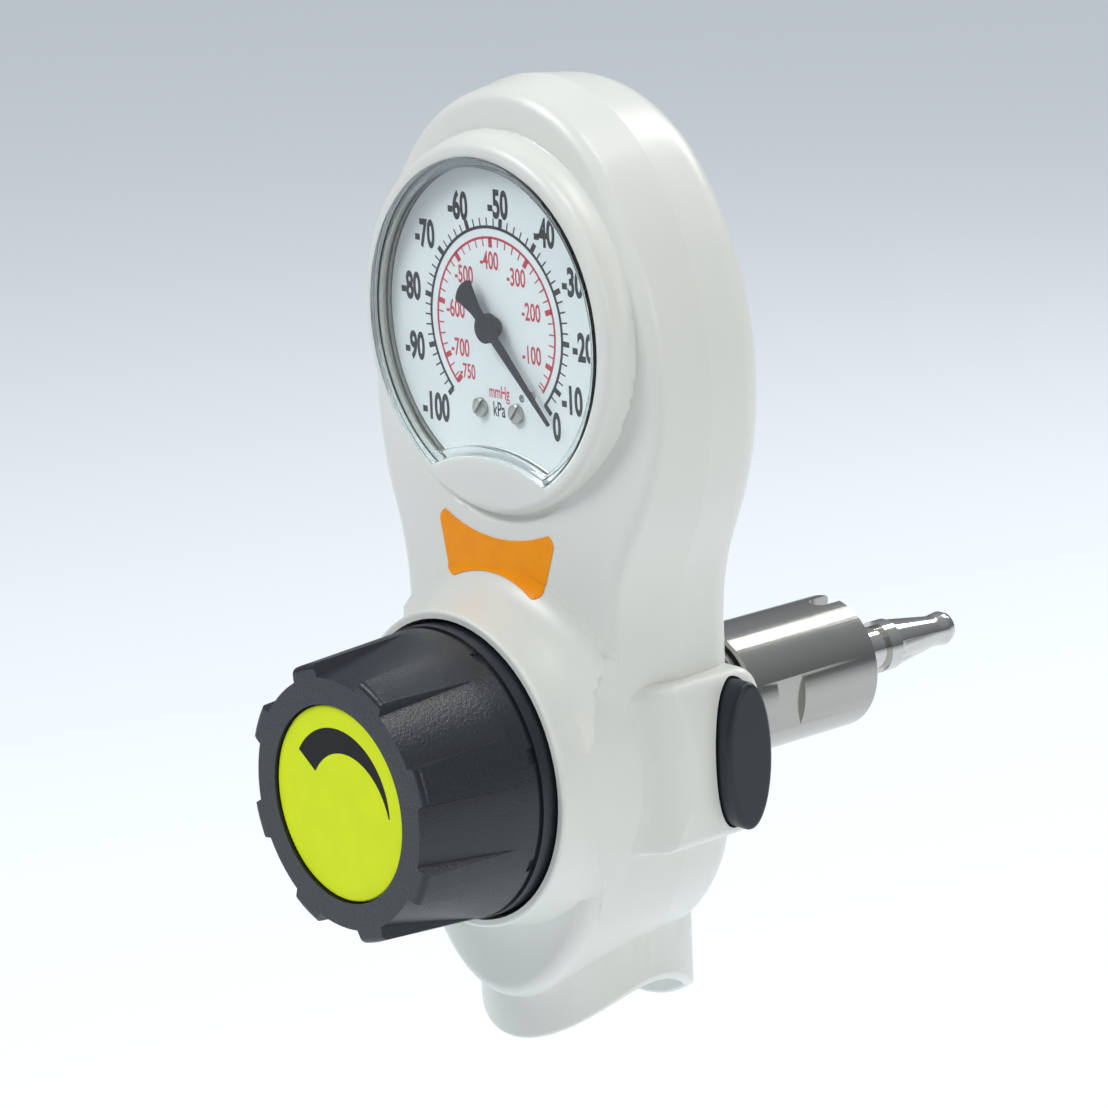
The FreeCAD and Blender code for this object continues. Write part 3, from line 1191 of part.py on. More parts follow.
def recess(sketch, low, half_low, half_high):
    """Section of a recess: a trapezium that opens outwards, its floor at a given radius."""
    out = vec(math.cos(first_turn), math.sin(first_turn))
    side = vec(-out.y, out.x)
    high = low + 7.0
    spread = half_low + (half_high - half_low) * 7.0 / 3.0
    marks = [out * low - side * half_low, out * high - side * spread,
             out * high + side * spread, out * low + side * half_low]
    crest = out * (low + half_low * half_low / (2 * low) * 0.9)
    sketch.addGeometry(Part.LineSegment(marks[0], marks[1]), False)
    sketch.addGeometry(Part.LineSegment(marks[1], marks[2]), False)
    sketch.addGeometry(Part.LineSegment(marks[2], marks[3]), False)
    sketch.addGeometry(Part.Arc(marks[3], crest, marks[0]), False)


recess(recess_front, amount("recess_floor_radius") - 0.7, amount("recess_half_low"), amount("recess_half_high"))
recess(recess_back, amount("knob_rear_radius") - 0.75, amount("recess_half_low") + 0.6,
       amount("recess_half_high") + 0.6)
groove = knob.newObject("PartDesign::SubtractiveLoft", "recess")
groove.Profile = recess_front
groove.Sections = [recess_back]
groove.Ruled = True
doc.recompute()
polar(knob, [groove], 8)
notch = new_sketch(knob, "notch", "XZ_Plane", "-knob_rim_y - 0.8")
notch_turn = math.radians(90 - amount("recess_turn") - 22.5)
out = vec(math.cos(notch_turn), math.sin(notch_turn))
side = vec(-out.y, out.x)
rim = amount("knob_rear_radius")
deep = amount("notch_deep")
half = amount("notch_half")
marks = [out * (rim - deep) - side * half, out * (rim + 2) - side * half,
         out * (rim + 2) + side * half, out * (rim - deep) + side * half]
for number in range(4):
    notch.addGeometry(Part.LineSegment(marks[number], marks[(number + 1) % 4]), False)
notch_cut = pocket(knob, notch, "1.6", True)
polar(knob, [notch_cut], 8)

# Cover disc, its screw behind it and the spindle
disc = new_body("knob_disc")
disc_line = new_sketch(disc, "disc_line", "XZ_Plane", "-disc_y - disc_thick")
ring(disc_line, "0", "0", "disc_radius")
pad(disc, disc_line, "disc_thick")
soften(disc, "0.3", lambda p: near(p.y, "disc_y"))
relief = new_sketch(disc, "disc_relief", "XZ_Plane", "-disc_y - disc_thick")
ring(relief, "0", "0", "3.6")
pocket(disc, relief, "0.8", True)
knob_screw = new_body("knob_screw")
screw_line = new_sketch(knob_screw, "knob_screw_line", "YZ_Plane")
draw(screw_line, [("disc_y + disc_thick - 0.7", "0"), ("disc_y + disc_thick - 0.7", "3.2"),
                  ("disc_y + disc_thick", "3.2"), ("disc_y + disc_thick", "2"),
                  ("spindle_front_y + 6", "2"), ("spindle_front_y + 6", "0")])
turn(knob_screw, screw_line)
spindle = new_body("adjusting_spindle")
spindle_line = new_sketch(spindle, "spindle_line", "YZ_Plane")
draw(spindle_line, [("spindle_front_y", "2"), ("spindle_front_y", "spindle_radius"),
                    ("bonnet_front_y + bonnet_floor", "spindle_radius"),
                    ("bonnet_front_y + bonnet_floor", "spindle_flange_radius"),
                    ("bonnet_front_y + bonnet_floor + flange_thick", "spindle_flange_radius"),
                    ("bonnet_front_y + bonnet_floor + flange_thick", "spindle_radius"),
                    ("spindle_rear_y", "spindle_radius"), ("spindle_rear_y", "0"),
                    ("spindle_front_y + 7", "0"), ("spindle_front_y + 7", "2")])
turn(spindle, spindle_line)

# Bonnet: neck for the spindle and cup for the main spring
bonnet = new_body("bonnet")
bonnet_line = new_sketch(bonnet, "bonnet_line", "YZ_Plane")
draw(bonnet_line, [("neck_front_y", "spindle_radius + pivot_fit"), ("neck_front_y", "neck_radius"),
                   ("bonnet_front_y", "neck_radius"), ("bonnet_front_y", "bonnet_radius"),
                   ("bonnet_end_y", "bonnet_radius"), ("bonnet_end_y", "bonnet_radius - bonnet_wall"),
                   ("bonnet_front_y + bonnet_floor", "bonnet_radius - bonnet_wall"),
                   ("bonnet_front_y + bonnet_floor", "spindle_radius + pivot_fit")])
turn(bonnet, bonnet_line)
keys = new_sketch(bonnet, "key_ways", "XZ_Plane", "-bonnet_end_y")
for lead in ("", "-"):
    draw(keys, [(lead + "17", "-1.7"), (lead + "19.7", "-1.7"), (lead + "19.7", "1.7"), (lead + "17", "1.7")])
pocket(bonnet, keys, "bonnet_end_y - bonnet_front_y - bonnet_floor", True)

# Spring seat: keyed nut on the spindle's thread
seat = new_body("spring_seat")
seat_line = new_sketch(seat, "seat_line", "XZ_Plane", "-seat_front_y - seat_thick")
ring(seat_line, "0", "0", "seat_radius")
ring(seat_line, "0", "0", "spindle_radius + pivot_fit")
pad(seat, seat_line, "seat_thick")
ears = new_sketch(seat, "seat_ears", "XZ_Plane", "-seat_front_y - seat_thick")
for lead in ("", "-"):
    draw(ears, [(lead + "13", "-1.4"), (lead + "19.3", "-1.4"), (lead + "19.3", "1.4"), (lead + "13", "1.4")])
pad(seat, ears, "seat_thick")

# Main spring between the seat and the plate on the diaphragm
spring = doc.addObject("Part::Feature", "main_spring")
spring.Label = "main_spring"
wire = amount("spring_wire")
seat_back = amount("seat_front_y") + amount("seat_thick")
plate_front = amount("bonnet_end_y") - amount("press_plate_thick")
turns = amount("spring_turns")
length = plate_front - seat_back - wire - 0.1
helix = Part.makeHelix(length / turns, length, amount("spring_radius"))
middle = amount("spring_radius")
corners = [vec(middle + a * wire / 2, 0, b * wire / 2) for a, b in ((-1, -1), (1, -1), (1, 1), (-1, 1), (-1, -1))]
section = Part.makePolygon(corners)
coil = Part.Wire(helix.Edges).makePipeShell([section], True, True)
spring.Shape = coil
spring.Placement = FreeCAD.Placement(vec(0, seat_back + wire / 2 + 0.05, 0), FreeCAD.Rotation(vec(1, 0, 0), -90))

# Diaphragm with its pressure plate, valve block, poppet
press = new_body("pressure_plate")
press_line = new_sketch(press, "press_line", "XZ_Plane", "-bonnet_end_y")
ring(press_line, "0", "0", "plate_radius")
pad(press, press_line, "press_plate_thick")
diaphragm = new_body("diaphragm")
film_line = new_sketch(diaphragm, "film_line", "XZ_Plane", "-bonnet_end_y - diaphragm_thick")
ring(film_line, "0", "0", "bonnet_radius")
pad(diaphragm, film_line, "diaphragm_thick")

block = new_body("valve_block")
block_line = new_sketch(block, "block_line", "XZ_Plane", "-block_back_y")
ring(block_line, "0", "0", "bonnet_radius")
pad(block, block_line, "block_back_y - bonnet_end_y - diaphragm_thick")
for name, low, high, first in (("upper_arm", "arm_in_z", "upper_arm_z", "block_front_y - 2.5"),
                               ("lower_arm", "lower_arm_z", "-arm_in_z", "block_front_y")):
    arm = new_sketch(block, name, "XY_Plane", low)
    draw(arm, [("-block_half_width", first), ("block_half_width", first),
               ("block_half_width", "block_back_y"), ("-block_half_width", "block_back_y")])
    pad(block, arm, high + " - " + low if not high.startswith("-") else high + " - lower_arm_z")
web_line = new_sketch(block, "arm_webs", "XZ_Plane", "-block_back_y")
draw(web_line, [("-block_half_width", "-arm_in_z - 1"), ("block_half_width", "-arm_in_z - 1"),
                ("block_half_width", "arm_in_z + 1"), ("-block_half_width", "arm_in_z + 1")])
pad(block, web_line, "block_back_y - bonnet_end_y - diaphragm_thick")
stub_line = new_sketch(block, "stub_line", "XZ_Plane", "-stub_end_y")
ring(stub_line, "0", "0", "stub_radius")
pad(block, stub_line, "stub_end_y - block_back_y")
passage = new_sketch(block, "inlet_passage", "XZ_Plane", "-stub_end_y")
ring(passage, "0", "0", "passage_radius")
pocket(block, passage, "60", True)
spool_way = new_sketch(block, "spool_way", "YZ_Plane")
ring(spool_way, "button_y", "button_z", "spool_radius + pivot_fit")
pocket(block, spool_way)
pit = new_sketch(block, "valve_pit", "XZ_Plane", "-bonnet_end_y - diaphragm_thick")
ring(pit, "0", "0", "passage_radius + 2")
pocket(block, pit, "1.2", False)
rise_line = new_sketch(block, "gauge_passage", "XY_Plane", "upper_arm_z")
ring(rise_line, "0", "tube_mid_y", "passage_radius")
pocket(block, rise_line, "12")
port_line = new_sketch(block, "port_passage", "XY_Plane", "lower_arm_z")
ring(port_line, "0", "skirt_y", "passage_radius")
pocket(block, port_line, "9", True)
poppet = new_body("valve_poppet")
poppet_line = new_sketch(poppet, "poppet_line", "YZ_Plane")
draw(poppet_line, [("bonnet_end_y + diaphragm_thick", "0"), ("bonnet_end_y + diaphragm_thick", "passage_radius + 1.6"),
                   ("bonnet_end_y + diaphragm_thick + 0.8", "passage_radius + 1.6"),
                   ("bonnet_end_y + diaphragm_thick + 1.1", "passage_radius - 0.4"),
                   ("bonnet_end_y + diaphragm_thick + 1.25", "0")])
turn(poppet, poppet_line)

# Push-through valve: spool with two seals and a cap at each end
def about_valve(name):
    """Body on the axis of the push-through valve, and its sketch drawn as x, radius."""
    body = new_body(name)
    place(body, y="button_y", z="button_z")
    return body, new_sketch(body, name + "_line", "XZ_Plane")


spool, spool_line = about_valve("valve_spool")
end = "button_root_x + 1.9"
floor = "spool_radius - seal_deep"
inside = "seal_x"
outside = "seal_x + seal_deep + 0.6"
draw(spool_line, [("-button_root_x - 1.9", "0"), ("-button_root_x - 1.9", "spool_radius"),
                  ("-seal_x - seal_deep - 0.6", "spool_radius"), ("-seal_x - seal_deep - 0.6", floor),
                  ("-seal_x", floor), ("-seal_x", "spool_radius"), (inside, "spool_radius"), (inside, floor),
                  (outside, floor), (outside, "spool_radius"), (end, "spool_radius"), (end, "0")])
turn(spool, spool_line)
seals, seal_sketch = about_valve("spool_seals")
for low, high in (("-seal_x - seal_deep - 0.5", "-seal_x - 0.1"), ("seal_x + 0.1", "seal_x + seal_deep + 0.5")):
    draw(seal_sketch, [(low, floor), (high, floor), (high, "spool_radius + 0.02"), (low, "spool_radius + 0.02")])
turn(seals, seal_sketch)


def cap(label, side, face):
    """Oval push cap with a rounded, slightly domed face."""
    body = new_body(label)
    line = new_sketch(body, label + "_line", "YZ_Plane", "button_root_x" if side > 0 else "-button_root_x")
    oval(line, "button_y", "button_z", "button_half_deep", "button_half_tall")
    pad(body, line, face + " - button_root_x", side < 0)
    soften(body, "1.1", lambda p: near(abs(p.x), face))
    hole = new_sketch(body, label + "_socket", "YZ_Plane", "button_root_x" if side > 0 else "-button_root_x")
    ring(hole, "button_y", "button_z", "spool_radius")
    pocket(body, hole, "2", side > 0)
    return body


cap_right = cap("button_cap_right", 1, "button_out_x")
cap_left = cap("button_cap_left", -1, "button_in_x")

# Rear stack: gasket, lock ring, sleeve, plug
gasket = new_body("rear_gasket")
gasket_line = new_sketch(gasket, "gasket_line", "YZ_Plane")
draw(gasket_line, [("boss_end_y", "stub_radius"), ("boss_end_y", "gasket_radius"),
                   ("gasket_end_y", "gasket_radius"), ("gasket_end_y", "stub_radius")])
turn(gasket, gasket_line)
lock = new_body("lock_ring")
lock_line = new_sketch(lock, "lock_line", "YZ_Plane")
draw(lock_line, [("gasket_end_y", "stub_radius"), ("gasket_end_y", "ring_radius"),
                 ("gasket_end_y + 0.9", "ring_radius"), ("gasket_end_y + 0.9", "ring_radius - ring_step"),
                 ("ring_end_y", "ring_radius - ring_step"), ("ring_end_y", "stub_radius")])
turn(lock, lock_line)
sleeve_seal = new_body("sleeve_seal")
seal_line = new_sketch(sleeve_seal, "seal_line", "YZ_Plane")
draw(seal_line, [("ring_end_y", "stub_radius"), ("ring_end_y", "ring_radius - 0.8"),
                 ("sleeve_front_y", "ring_radius - 0.8"), ("sleeve_front_y", "stub_radius")])
turn(sleeve_seal, seal_line)

sleeve = new_body("inlet_sleeve")
sleeve_line = new_sketch(sleeve, "sleeve_line", "YZ_Plane")
draw(sleeve_line, [("sleeve_front_y", "stub_radius"), ("sleeve_front_y", "sleeve_radius - sleeve_edge"),
                   ("sleeve_front_y + sleeve_edge", "sleeve_radius"), ("-sleeve_edge", "sleeve_radius"),
                   ("0", "sleeve_radius - sleeve_edge"), ("0", "sleeve_bore_radius"),
                   ("web_back_y", "sleeve_bore_radius"), ("web_back_y", "3"), ("web_front_y", "3"),
                   ("web_front_y", "stub_radius")])
turn(sleeve, sleeve_line)
flats = new_sketch(sleeve, "wrench_flats", "XY_Plane")
for lead in ("", "-"):
    draw(flats, [(lead + "flat_x", "flat_front_y"), (lead + "15", "flat_front_y"),
                 (lead + "15", "flat_back_y"), (lead + "flat_x", "flat_back_y")])
pocket(sleeve, flats)
slot = new_sketch(sleeve, "key_slot", "XY_Plane", "20")
draw(slot, [("-slot_half", "slot_front_y + slot_half"), ("slot_half", "slot_front_y + slot_half"),
            ("slot_half", "5"), ("-slot_half", "5")])
pocket(sleeve, slot, "18")
slot_end = new_sketch(sleeve, "slot_end", "XY_Plane", "20")
ring(slot_end, "0", "slot_front_y + slot_half", "slot_half")
pocket(sleeve, slot_end, "18")
sleeve.Placement = FreeCAD.Placement(vec(0, 0), FreeCAD.Rotation(vec(0, 1, 0), amount("sleeve_turn")))
bind(sleeve, "Placement.Rotation.Angle", "sleeve_turn")

plug = new_body("inlet_plug")
plug_line = new_sketch(plug, "plug_line", "YZ_Plane")
draw(plug_line, [("web_back_y", "plug_bore_radius"), ("web_back_y", "plug_flange_radius"),
                 ("web_back_y + plug_flange_thick", "plug_flange_radius"),
                 ("web_back_y + plug_flange_thick", "plug_body_radius"),
                 ("plug_body_end_y", "plug_body_radius"), ("plug_body_end_y", "plug_neck_radius"),
                 ("plug_neck_end_y", "plug_neck_radius"), ("plug_neck_end_y", "plug_collar_radius"),
                 ("plug_collar_end_y", "plug_collar_radius"), ("plug_collar_end_y", "plug_cone_radius"),
                 ("plug_cone_end_y", "plug_tip_radius"), ("plug_end_y - 1.2", "plug_lip_radius"),
                 ("plug_end_y", "plug_lip_radius - 0.4"), ("plug_end_y", "plug_bore_radius")])
turn(plug, plug_line)

# Port nipple under the skirt: plain spigot with a bevelled end and a stop collar above
port = new_body("port_nipple")
port_sketch = new_sketch(port, "port_line_turn", "YZ_Plane")
draw(port_sketch, [("skirt_y + passage_radius", "lower_arm_z"), ("skirt_y + port_nut_radius", "lower_arm_z"),
                   ("skirt_y + port_nut_radius", "port_stop_z"), ("skirt_y + port_radius", "port_stop_z"),
                   ("skirt_y + port_radius", "port_end_z + port_bevel"),
                   ("skirt_y + port_radius - port_bevel", "port_end_z"),
                   ("skirt_y + passage_radius", "port_end_z")])
centre = port_sketch.addGeometry(Part.LineSegment(vec(amount("skirt_y"), -60), vec(amount("skirt_y"), 0)), True)
pin_down(port_sketch, centre, 1, "X", "skirt_y")
pin_down(port_sketch, centre, 2, "X", "skirt_y")
nipple = port.newObject("PartDesign::Revolution", "port_turn")
nipple.Profile = port_sketch
nipple.ReferenceAxis = (port_sketch, ["Axis0"])
nipple.Angle = 360
doc.recompute()

# Colour label on the waist: a bow-tie plate that follows the face
label_body = new_body("label_form")
label_line = new_sketch(label_body, "label_line", "XZ_Plane", "-face_y + 4")
high = amount("label_high_z")
low = amount("label_low_z")
wide = amount("label_half_top")
thin = amount("label_half_low")
tilt = math.radians(-amount("label_tilt"))
middle = vec(0, (high + low) / 2)


def tilted(x, z):
    point = vec(x, z) - middle
    return vec(point.x * math.cos(tilt) - point.y * math.sin(tilt) + amount("label_shift"),
               point.x * math.sin(tilt) + point.y * math.cos(tilt)) + middle


round_by = amount("label_round")
lean = (wide - thin) / (high - low)
top = [tilted(-wide + round_by, high), tilted(0, high - amount("label_dip_high")), tilted(wide - round_by, high)]
foot = [tilted(thin - round_by, low), tilted(0, low + amount("label_dip_low")), tilted(-thin + round_by, low)]
right = [tilted(wide - lean * round_by, high - round_by), tilted(thin + lean * round_by, low + round_by)]
left = [tilted(-thin - lean * round_by, low + round_by), tilted(-wide + lean * round_by, high - round_by)]
label_line.addGeometry(Part.Arc(*top), False)
label_line.addGeometry(arc_between(top[2], right[0], round_by, -1), False)
label_line.addGeometry(Part.LineSegment(*right), False)
label_line.addGeometry(arc_between(right[1], foot[0], round_by, -1), False)
label_line.addGeometry(Part.Arc(*foot), False)
label_line.addGeometry(arc_between(foot[2], left[0], round_by, -1), False)
label_line.addGeometry(Part.LineSegment(*left), False)
label_line.addGeometry(arc_between(left[1], top[0], round_by, -1), False)
pad(label_body, label_line, "9", True)
label_skin = doc.addObject("Part::Feature", "label_skin")
label_skin.Shape = front_full.Shape.translated(vec(0, -amount("label_thick"), 0))
label_common = shared("label_common", [label_body, label_skin])
waist_label = less("waist_label_solid", label_common, front_full)
waist_label.Label = "waist_label"
doc.recompute()

NODES = [front_housing, rear_housing, housing_screws, gauge_lens, case, dial, dial_screws, stop_pin, pointer,
         pinion, sector, frame, bourdon, stem, knob, disc, knob_screw, spindle, bonnet, seat, spring, press,
         diaphragm, block, poppet, spool, seals, cap_right, cap_left, gasket, lock, sleeve_seal, sleeve, plug, port,
         waist_label]

for item in doc.Objects:
    if "Invalid" in item.State or "Error" in item.State:
        raise RuntimeError(item.Name + " failed")
for item in NODES:
    if item.Shape.isNull() or not item.Shape.isValid():
        raise RuntimeError(item.Label + " has no valid shape")
os.makedirs(OUT, exist_ok=True)
for item in NODES:
    item.Shape.exportStep(os.path.join(OUT, item.Label + ".step"))
    print(item.Label, round(item.Shape.Volume, 1))
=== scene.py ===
import json
import math

import bpy
from mathutils import Matrix, Vector

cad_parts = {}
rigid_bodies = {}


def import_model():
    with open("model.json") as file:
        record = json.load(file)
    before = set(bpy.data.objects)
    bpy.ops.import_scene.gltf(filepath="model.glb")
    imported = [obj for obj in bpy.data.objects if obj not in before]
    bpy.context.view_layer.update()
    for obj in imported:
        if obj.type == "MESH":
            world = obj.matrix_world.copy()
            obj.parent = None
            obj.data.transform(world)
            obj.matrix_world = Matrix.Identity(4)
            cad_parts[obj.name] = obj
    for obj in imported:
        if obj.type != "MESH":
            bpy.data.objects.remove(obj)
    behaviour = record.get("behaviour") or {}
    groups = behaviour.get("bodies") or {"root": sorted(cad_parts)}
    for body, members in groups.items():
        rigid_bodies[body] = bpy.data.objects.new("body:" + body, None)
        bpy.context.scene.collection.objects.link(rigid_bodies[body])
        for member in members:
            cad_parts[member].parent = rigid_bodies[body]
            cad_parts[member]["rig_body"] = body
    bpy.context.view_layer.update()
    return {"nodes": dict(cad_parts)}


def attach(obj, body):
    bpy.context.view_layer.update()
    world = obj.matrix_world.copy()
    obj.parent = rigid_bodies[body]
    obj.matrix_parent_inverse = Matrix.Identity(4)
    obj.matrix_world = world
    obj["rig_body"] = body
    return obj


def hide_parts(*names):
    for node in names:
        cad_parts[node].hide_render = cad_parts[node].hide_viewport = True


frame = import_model()

# Sizes are in millimetres where a name or a comment doesn't say otherwise
MM = 0.001
GAUGE_Z = 77.4
DIAL_Y = -79.1
DISC_Y = -119.75
WELD_GAP = 0.004
FLAT_ANGLE = 0.6
PRINT_WELD_GAP = 0.0005


# Materials
def linear(code):
    """sRGB hex value as linear colour."""
    parts = [int(code[i:i + 2], 16) / 255 for i in (1, 3, 5)]
    return tuple(c / 12.92 if c <= 0.04045 else ((c + 0.055) / 1.055) ** 2.4 for c in parts) + (1.0,)


def add_node(material, kind, inputs=None, **settings):
    """Add a node, set its properties, then set or link its inputs."""
    tree = material.node_tree
    made = tree.nodes.new(kind)
    for name, value in settings.items():
        setattr(made, name, value)
    for name, value in (inputs or {}).items():
        if isinstance(value, bpy.types.NodeSocket):
            tree.links.new(value, made.inputs[name])
        else:
            made.inputs[name].default_value = value
    return made


def new_surface(name, colour, roughness, metallic=0.0, **sockets):
    """Material with a Principled shader; returns both."""
    material = bpy.data.materials.new(name)
    material.use_nodes = True
    shader = material.node_tree.nodes["Principled BSDF"]
    shader.inputs["Base Color"].default_value = linear(colour)
    shader.inputs["Roughness"].default_value = roughness
    shader.inputs["Metallic"].default_value = metallic
    for socket, value in sockets.items():
        shader.inputs[socket.replace("_", " ")].default_value = value
    return material, shader


def grain(material, shader, size_mm, height_mm, detail=2.0, stretch=(1, 1, 1)):
    """Bump from noise of a given grain size, on object coordinates."""
    place = add_node(material, "ShaderNodeTexCoord")
    scale = add_node(material, "ShaderNodeMapping", {"Vector": place.outputs["Object"], "Scale": stretch})
    noise = add_node(material, "ShaderNodeTexNoise", {"Vector": scale.outputs["Vector"], "Scale": 1 / (size_mm * MM),
                                                      "Detail": detail, "Roughness": 0.55})
    bump = add_node(material, "ShaderNodeBump", {"Height": noise.outputs["Fac"], "Distance": height_mm * MM,
                                                 "Strength": 1.0})
    material.node_tree.links.new(bump.outputs["Normal"], shader.inputs["Normal"])
    return noise


def mottle(material, shader, first, second, size_mm, low=0.35, high=0.65):
    """Slow change of colour between two shades."""
    place = add_node(material, "ShaderNodeTexCoord")
    noise = add_node(material, "ShaderNodeTexNoise", {"Vector": place.outputs["Object"], "Scale": 1 / (size_mm * MM),
                                                      "Detail": 3.0})
    spread = add_node(material, "ShaderNodeMapRange", {"Value": noise.outputs["Fac"], "From Min": low,
                                                       "From Max": high})
    mix = add_node(material, "ShaderNodeMix", data_type="RGBA")
    mix.inputs[6].default_value = linear(first)
    mix.inputs[7].default_value = linear(second)
    material.node_tree.links.new(spread.outputs["Result"], mix.inputs[0])
    material.node_tree.links.new(mix.outputs[2], shader.inputs["Base Color"])


def turned(material, shader, pitch_mm, height_mm, low, high):
    """Fine rings of a lathe tool along Y, as bump and as change of roughness."""
    place = add_node(material, "ShaderNodeTexCoord")
    rings = add_node(material, "ShaderNodeMapping", {"Vector": place.outputs["Object"], "Scale": (0.02, 1.0, 0.02)})
    noise = add_node(material, "ShaderNodeTexNoise", {"Vector": rings.outputs["Vector"], "Scale": 1 / (pitch_mm * MM),
                                                      "Detail": 4.0, "Roughness": 0.7})
    bump = add_node(material, "ShaderNodeBump", {"Height": noise.outputs["Fac"], "Distance": height_mm * MM,
                                                 "Strength": 1.0})
    spread = add_node(material, "ShaderNodeMapRange", {"Value": noise.outputs["Fac"], "To Min": low, "To Max": high})
    material.node_tree.links.new(bump.outputs["Normal"], shader.inputs["Normal"])
    material.node_tree.links.new(spread.outputs["Result"], shader.inputs["Roughness"])


# Moulded ABS housing: off-white with a fine eroded grain, so highlights are broad and soft
housing_plastic, shader = new_surface("moulded_abs_white", "#e2e4de", 0.34)
mottle(housing_plastic, shader, "#e3e5df", "#dfe2dc", 30)
grain(housing_plastic, shader, 0.45, 0.006)

# Moulded polyamide knob: charcoal with a coarser eroded grain that glitters a little along the lobes
knob_plastic, shader = new_surface("moulded_polyamide_charcoal", "#20252c", 0.33)
grain(knob_plastic, shader, 0.55, 0.09, 3.0)

# Push cap: the same charcoal plastic with a finer grain
cap_plastic, shader = new_surface("moulded_polyamide_cap", "#1a2128", 0.4)
grain(cap_plastic, shader, 0.4, 0.02, 3.0)

# Printed polycarbonate insert: bright yellow-green film, smooth, its print sealed under the face
disc_film, shader = new_surface("printed_polycarbonate_yellow", "#dced00", 0.4, Specular_IOR_Level=0.2)
mottle(disc_film, shader, "#deee00", "#d9ea00", 6)
print_black, shader = new_surface("printing_ink_black", "#070708", 0.5, Specular_IOR_Level=0.25)
grain(print_black, shader, 0.3, 0.001)
print_red, shader = new_surface("printing_ink_red", "#c8143c", 0.45)
grain(print_red, shader, 0.3, 0.001)

# Polyester label film: orange, satin
label_film, shader = new_surface("polyester_film_orange", "#ff9c00", 0.45, Specular_IOR_Level=0.2)
mottle(label_film, shader, "#ff9e00", "#fb9700", 4)

# Lacquered dial: cool white, even
dial_paint, shader = new_surface("lacquered_aluminium_dial", "#e9eff0", 0.5)
mottle(dial_paint, shader, "#eaf0f1", "#e6ecee", 20)

# Clear polycarbonate lens
lens_clear, shader = new_surface("clear_polycarbonate", "#fdffff", 0.02, Transmission_Weight=1.0, IOR=1.45)
grain(lens_clear, shader, 14.0, 0.002)
# Light reaches the dial through the lens, so shadow rays pass it
rays = add_node(lens_clear, "ShaderNodeLightPath")
clear = add_node(lens_clear, "ShaderNodeBsdfTransparent")
clear.inputs["Color"].default_value = linear("#f6fbfb")
passing = add_node(lens_clear, "ShaderNodeMixShader")
lens_clear.node_tree.links.new(rays.outputs["Is Shadow Ray"], passing.inputs[0])
lens_clear.node_tree.links.new(shader.outputs["BSDF"], passing.inputs[1])
lens_clear.node_tree.links.new(clear.outputs["BSDF"], passing.inputs[2])
lens_clear.node_tree.links.new(passing.outputs["Shader"],
                               lens_clear.node_tree.nodes["Material Output"].inputs["Surface"])

# Matt black lacquer of the pointer
pointer_paint, shader = new_surface("matt_black_lacquer", "#060607", 0.6, Specular_IOR_Level=0.2)
grain(pointer_paint, shader, 0.25, 0.002)

# Turned stainless steel sleeve: fine tool rings that spread the light round the axis
turned_steel, shader = new_surface("turned_stainless_steel", "#aeaca6", 0.2, 1.0)
turned(turned_steel, shader, 0.35, 0.006, 0.12, 0.28)

# Polished stainless steel plug
polished_steel, shader = new_surface("polished_stainless_steel", "#c9c7c2", 0.1, 1.0)
turned(polished_steel, shader, 0.6, 0.0015, 0.06, 0.16)

# Zinc plated screws
plated_steel, shader = new_surface("zinc_plated_steel", "#b4b3ad", 0.28, 1.0)
grain(plated_steel, shader, 0.5, 0.004)

# Moulded nitrile rubber of seals
seal_rubber, shader = new_surface("nitrile_rubber", "#17181a", 0.55)
grain(seal_rubber, shader, 0.6, 0.004)

# Turned brass of the gauge's works
turned_brass, shader = new_surface("turned_brass", "#c9a45a", 0.3, 1.0)
turned(turned_brass, shader, 0.4, 0.003, 0.22, 0.4)

# Machined aluminium of the valve block and bonnet
machined_aluminium, shader = new_surface("machined_aluminium", "#c2c4c6", 0.35, 1.0)
grain(machined_aluminium, shader, 0.5, 0.004)

FINISHES = {
    "front_housing": housing_plastic, "rear_housing": housing_plastic, "housing_screws": plated_steel,
    "gauge_lens": lens_clear, "gauge_case": machined_aluminium, "dial_plate": dial_paint,
    "dial_screws": plated_steel, "stop_pin": lens_clear, "pointer": pointer_paint, "pinion_arbor": turned_brass,
    "sector_gear": turned_brass, "movement_frame": turned_brass, "bourdon_tube": turned_brass,
    "gauge_stem": turned_brass, "knob": knob_plastic, "knob_disc": disc_film, "knob_screw": plated_steel,
    "adjusting_spindle": turned_brass, "bonnet": machined_aluminium, "spring_seat": turned_brass,
    "main_spring": polished_steel, "pressure_plate": machined_aluminium, "diaphragm": seal_rubber,
    "valve_block": machined_aluminium, "valve_poppet": seal_rubber, "valve_spool": polished_steel,
    "spool_seals": seal_rubber, "button_cap_right": cap_plastic, "button_cap_left": cap_plastic,
    "rear_gasket": seal_rubber, "lock_ring": polished_steel, "sleeve_seal": seal_rubber,
    "inlet_sleeve": turned_steel, "inlet_plug": polished_steel, "port_nipple": polished_steel,
    "waist_label": label_film,
}
for node_name, finish in FINISHES.items():
    mesh = frame["nodes"][node_name].data
    mesh.materials.clear()
    mesh.materials.append(finish)


# Pieces
def deselect():
    if bpy.context.object and bpy.context.object.mode != "OBJECT":
        bpy.ops.object.mode_set(mode="OBJECT")
    bpy.ops.object.select_all(action="DESELECT")


def pick(piece):
    deselect()
    piece.select_set(True)
    bpy.context.view_layer.objects.active = piece


def body_of_node(node_name):
    return frame["nodes"][node_name]["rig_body"]


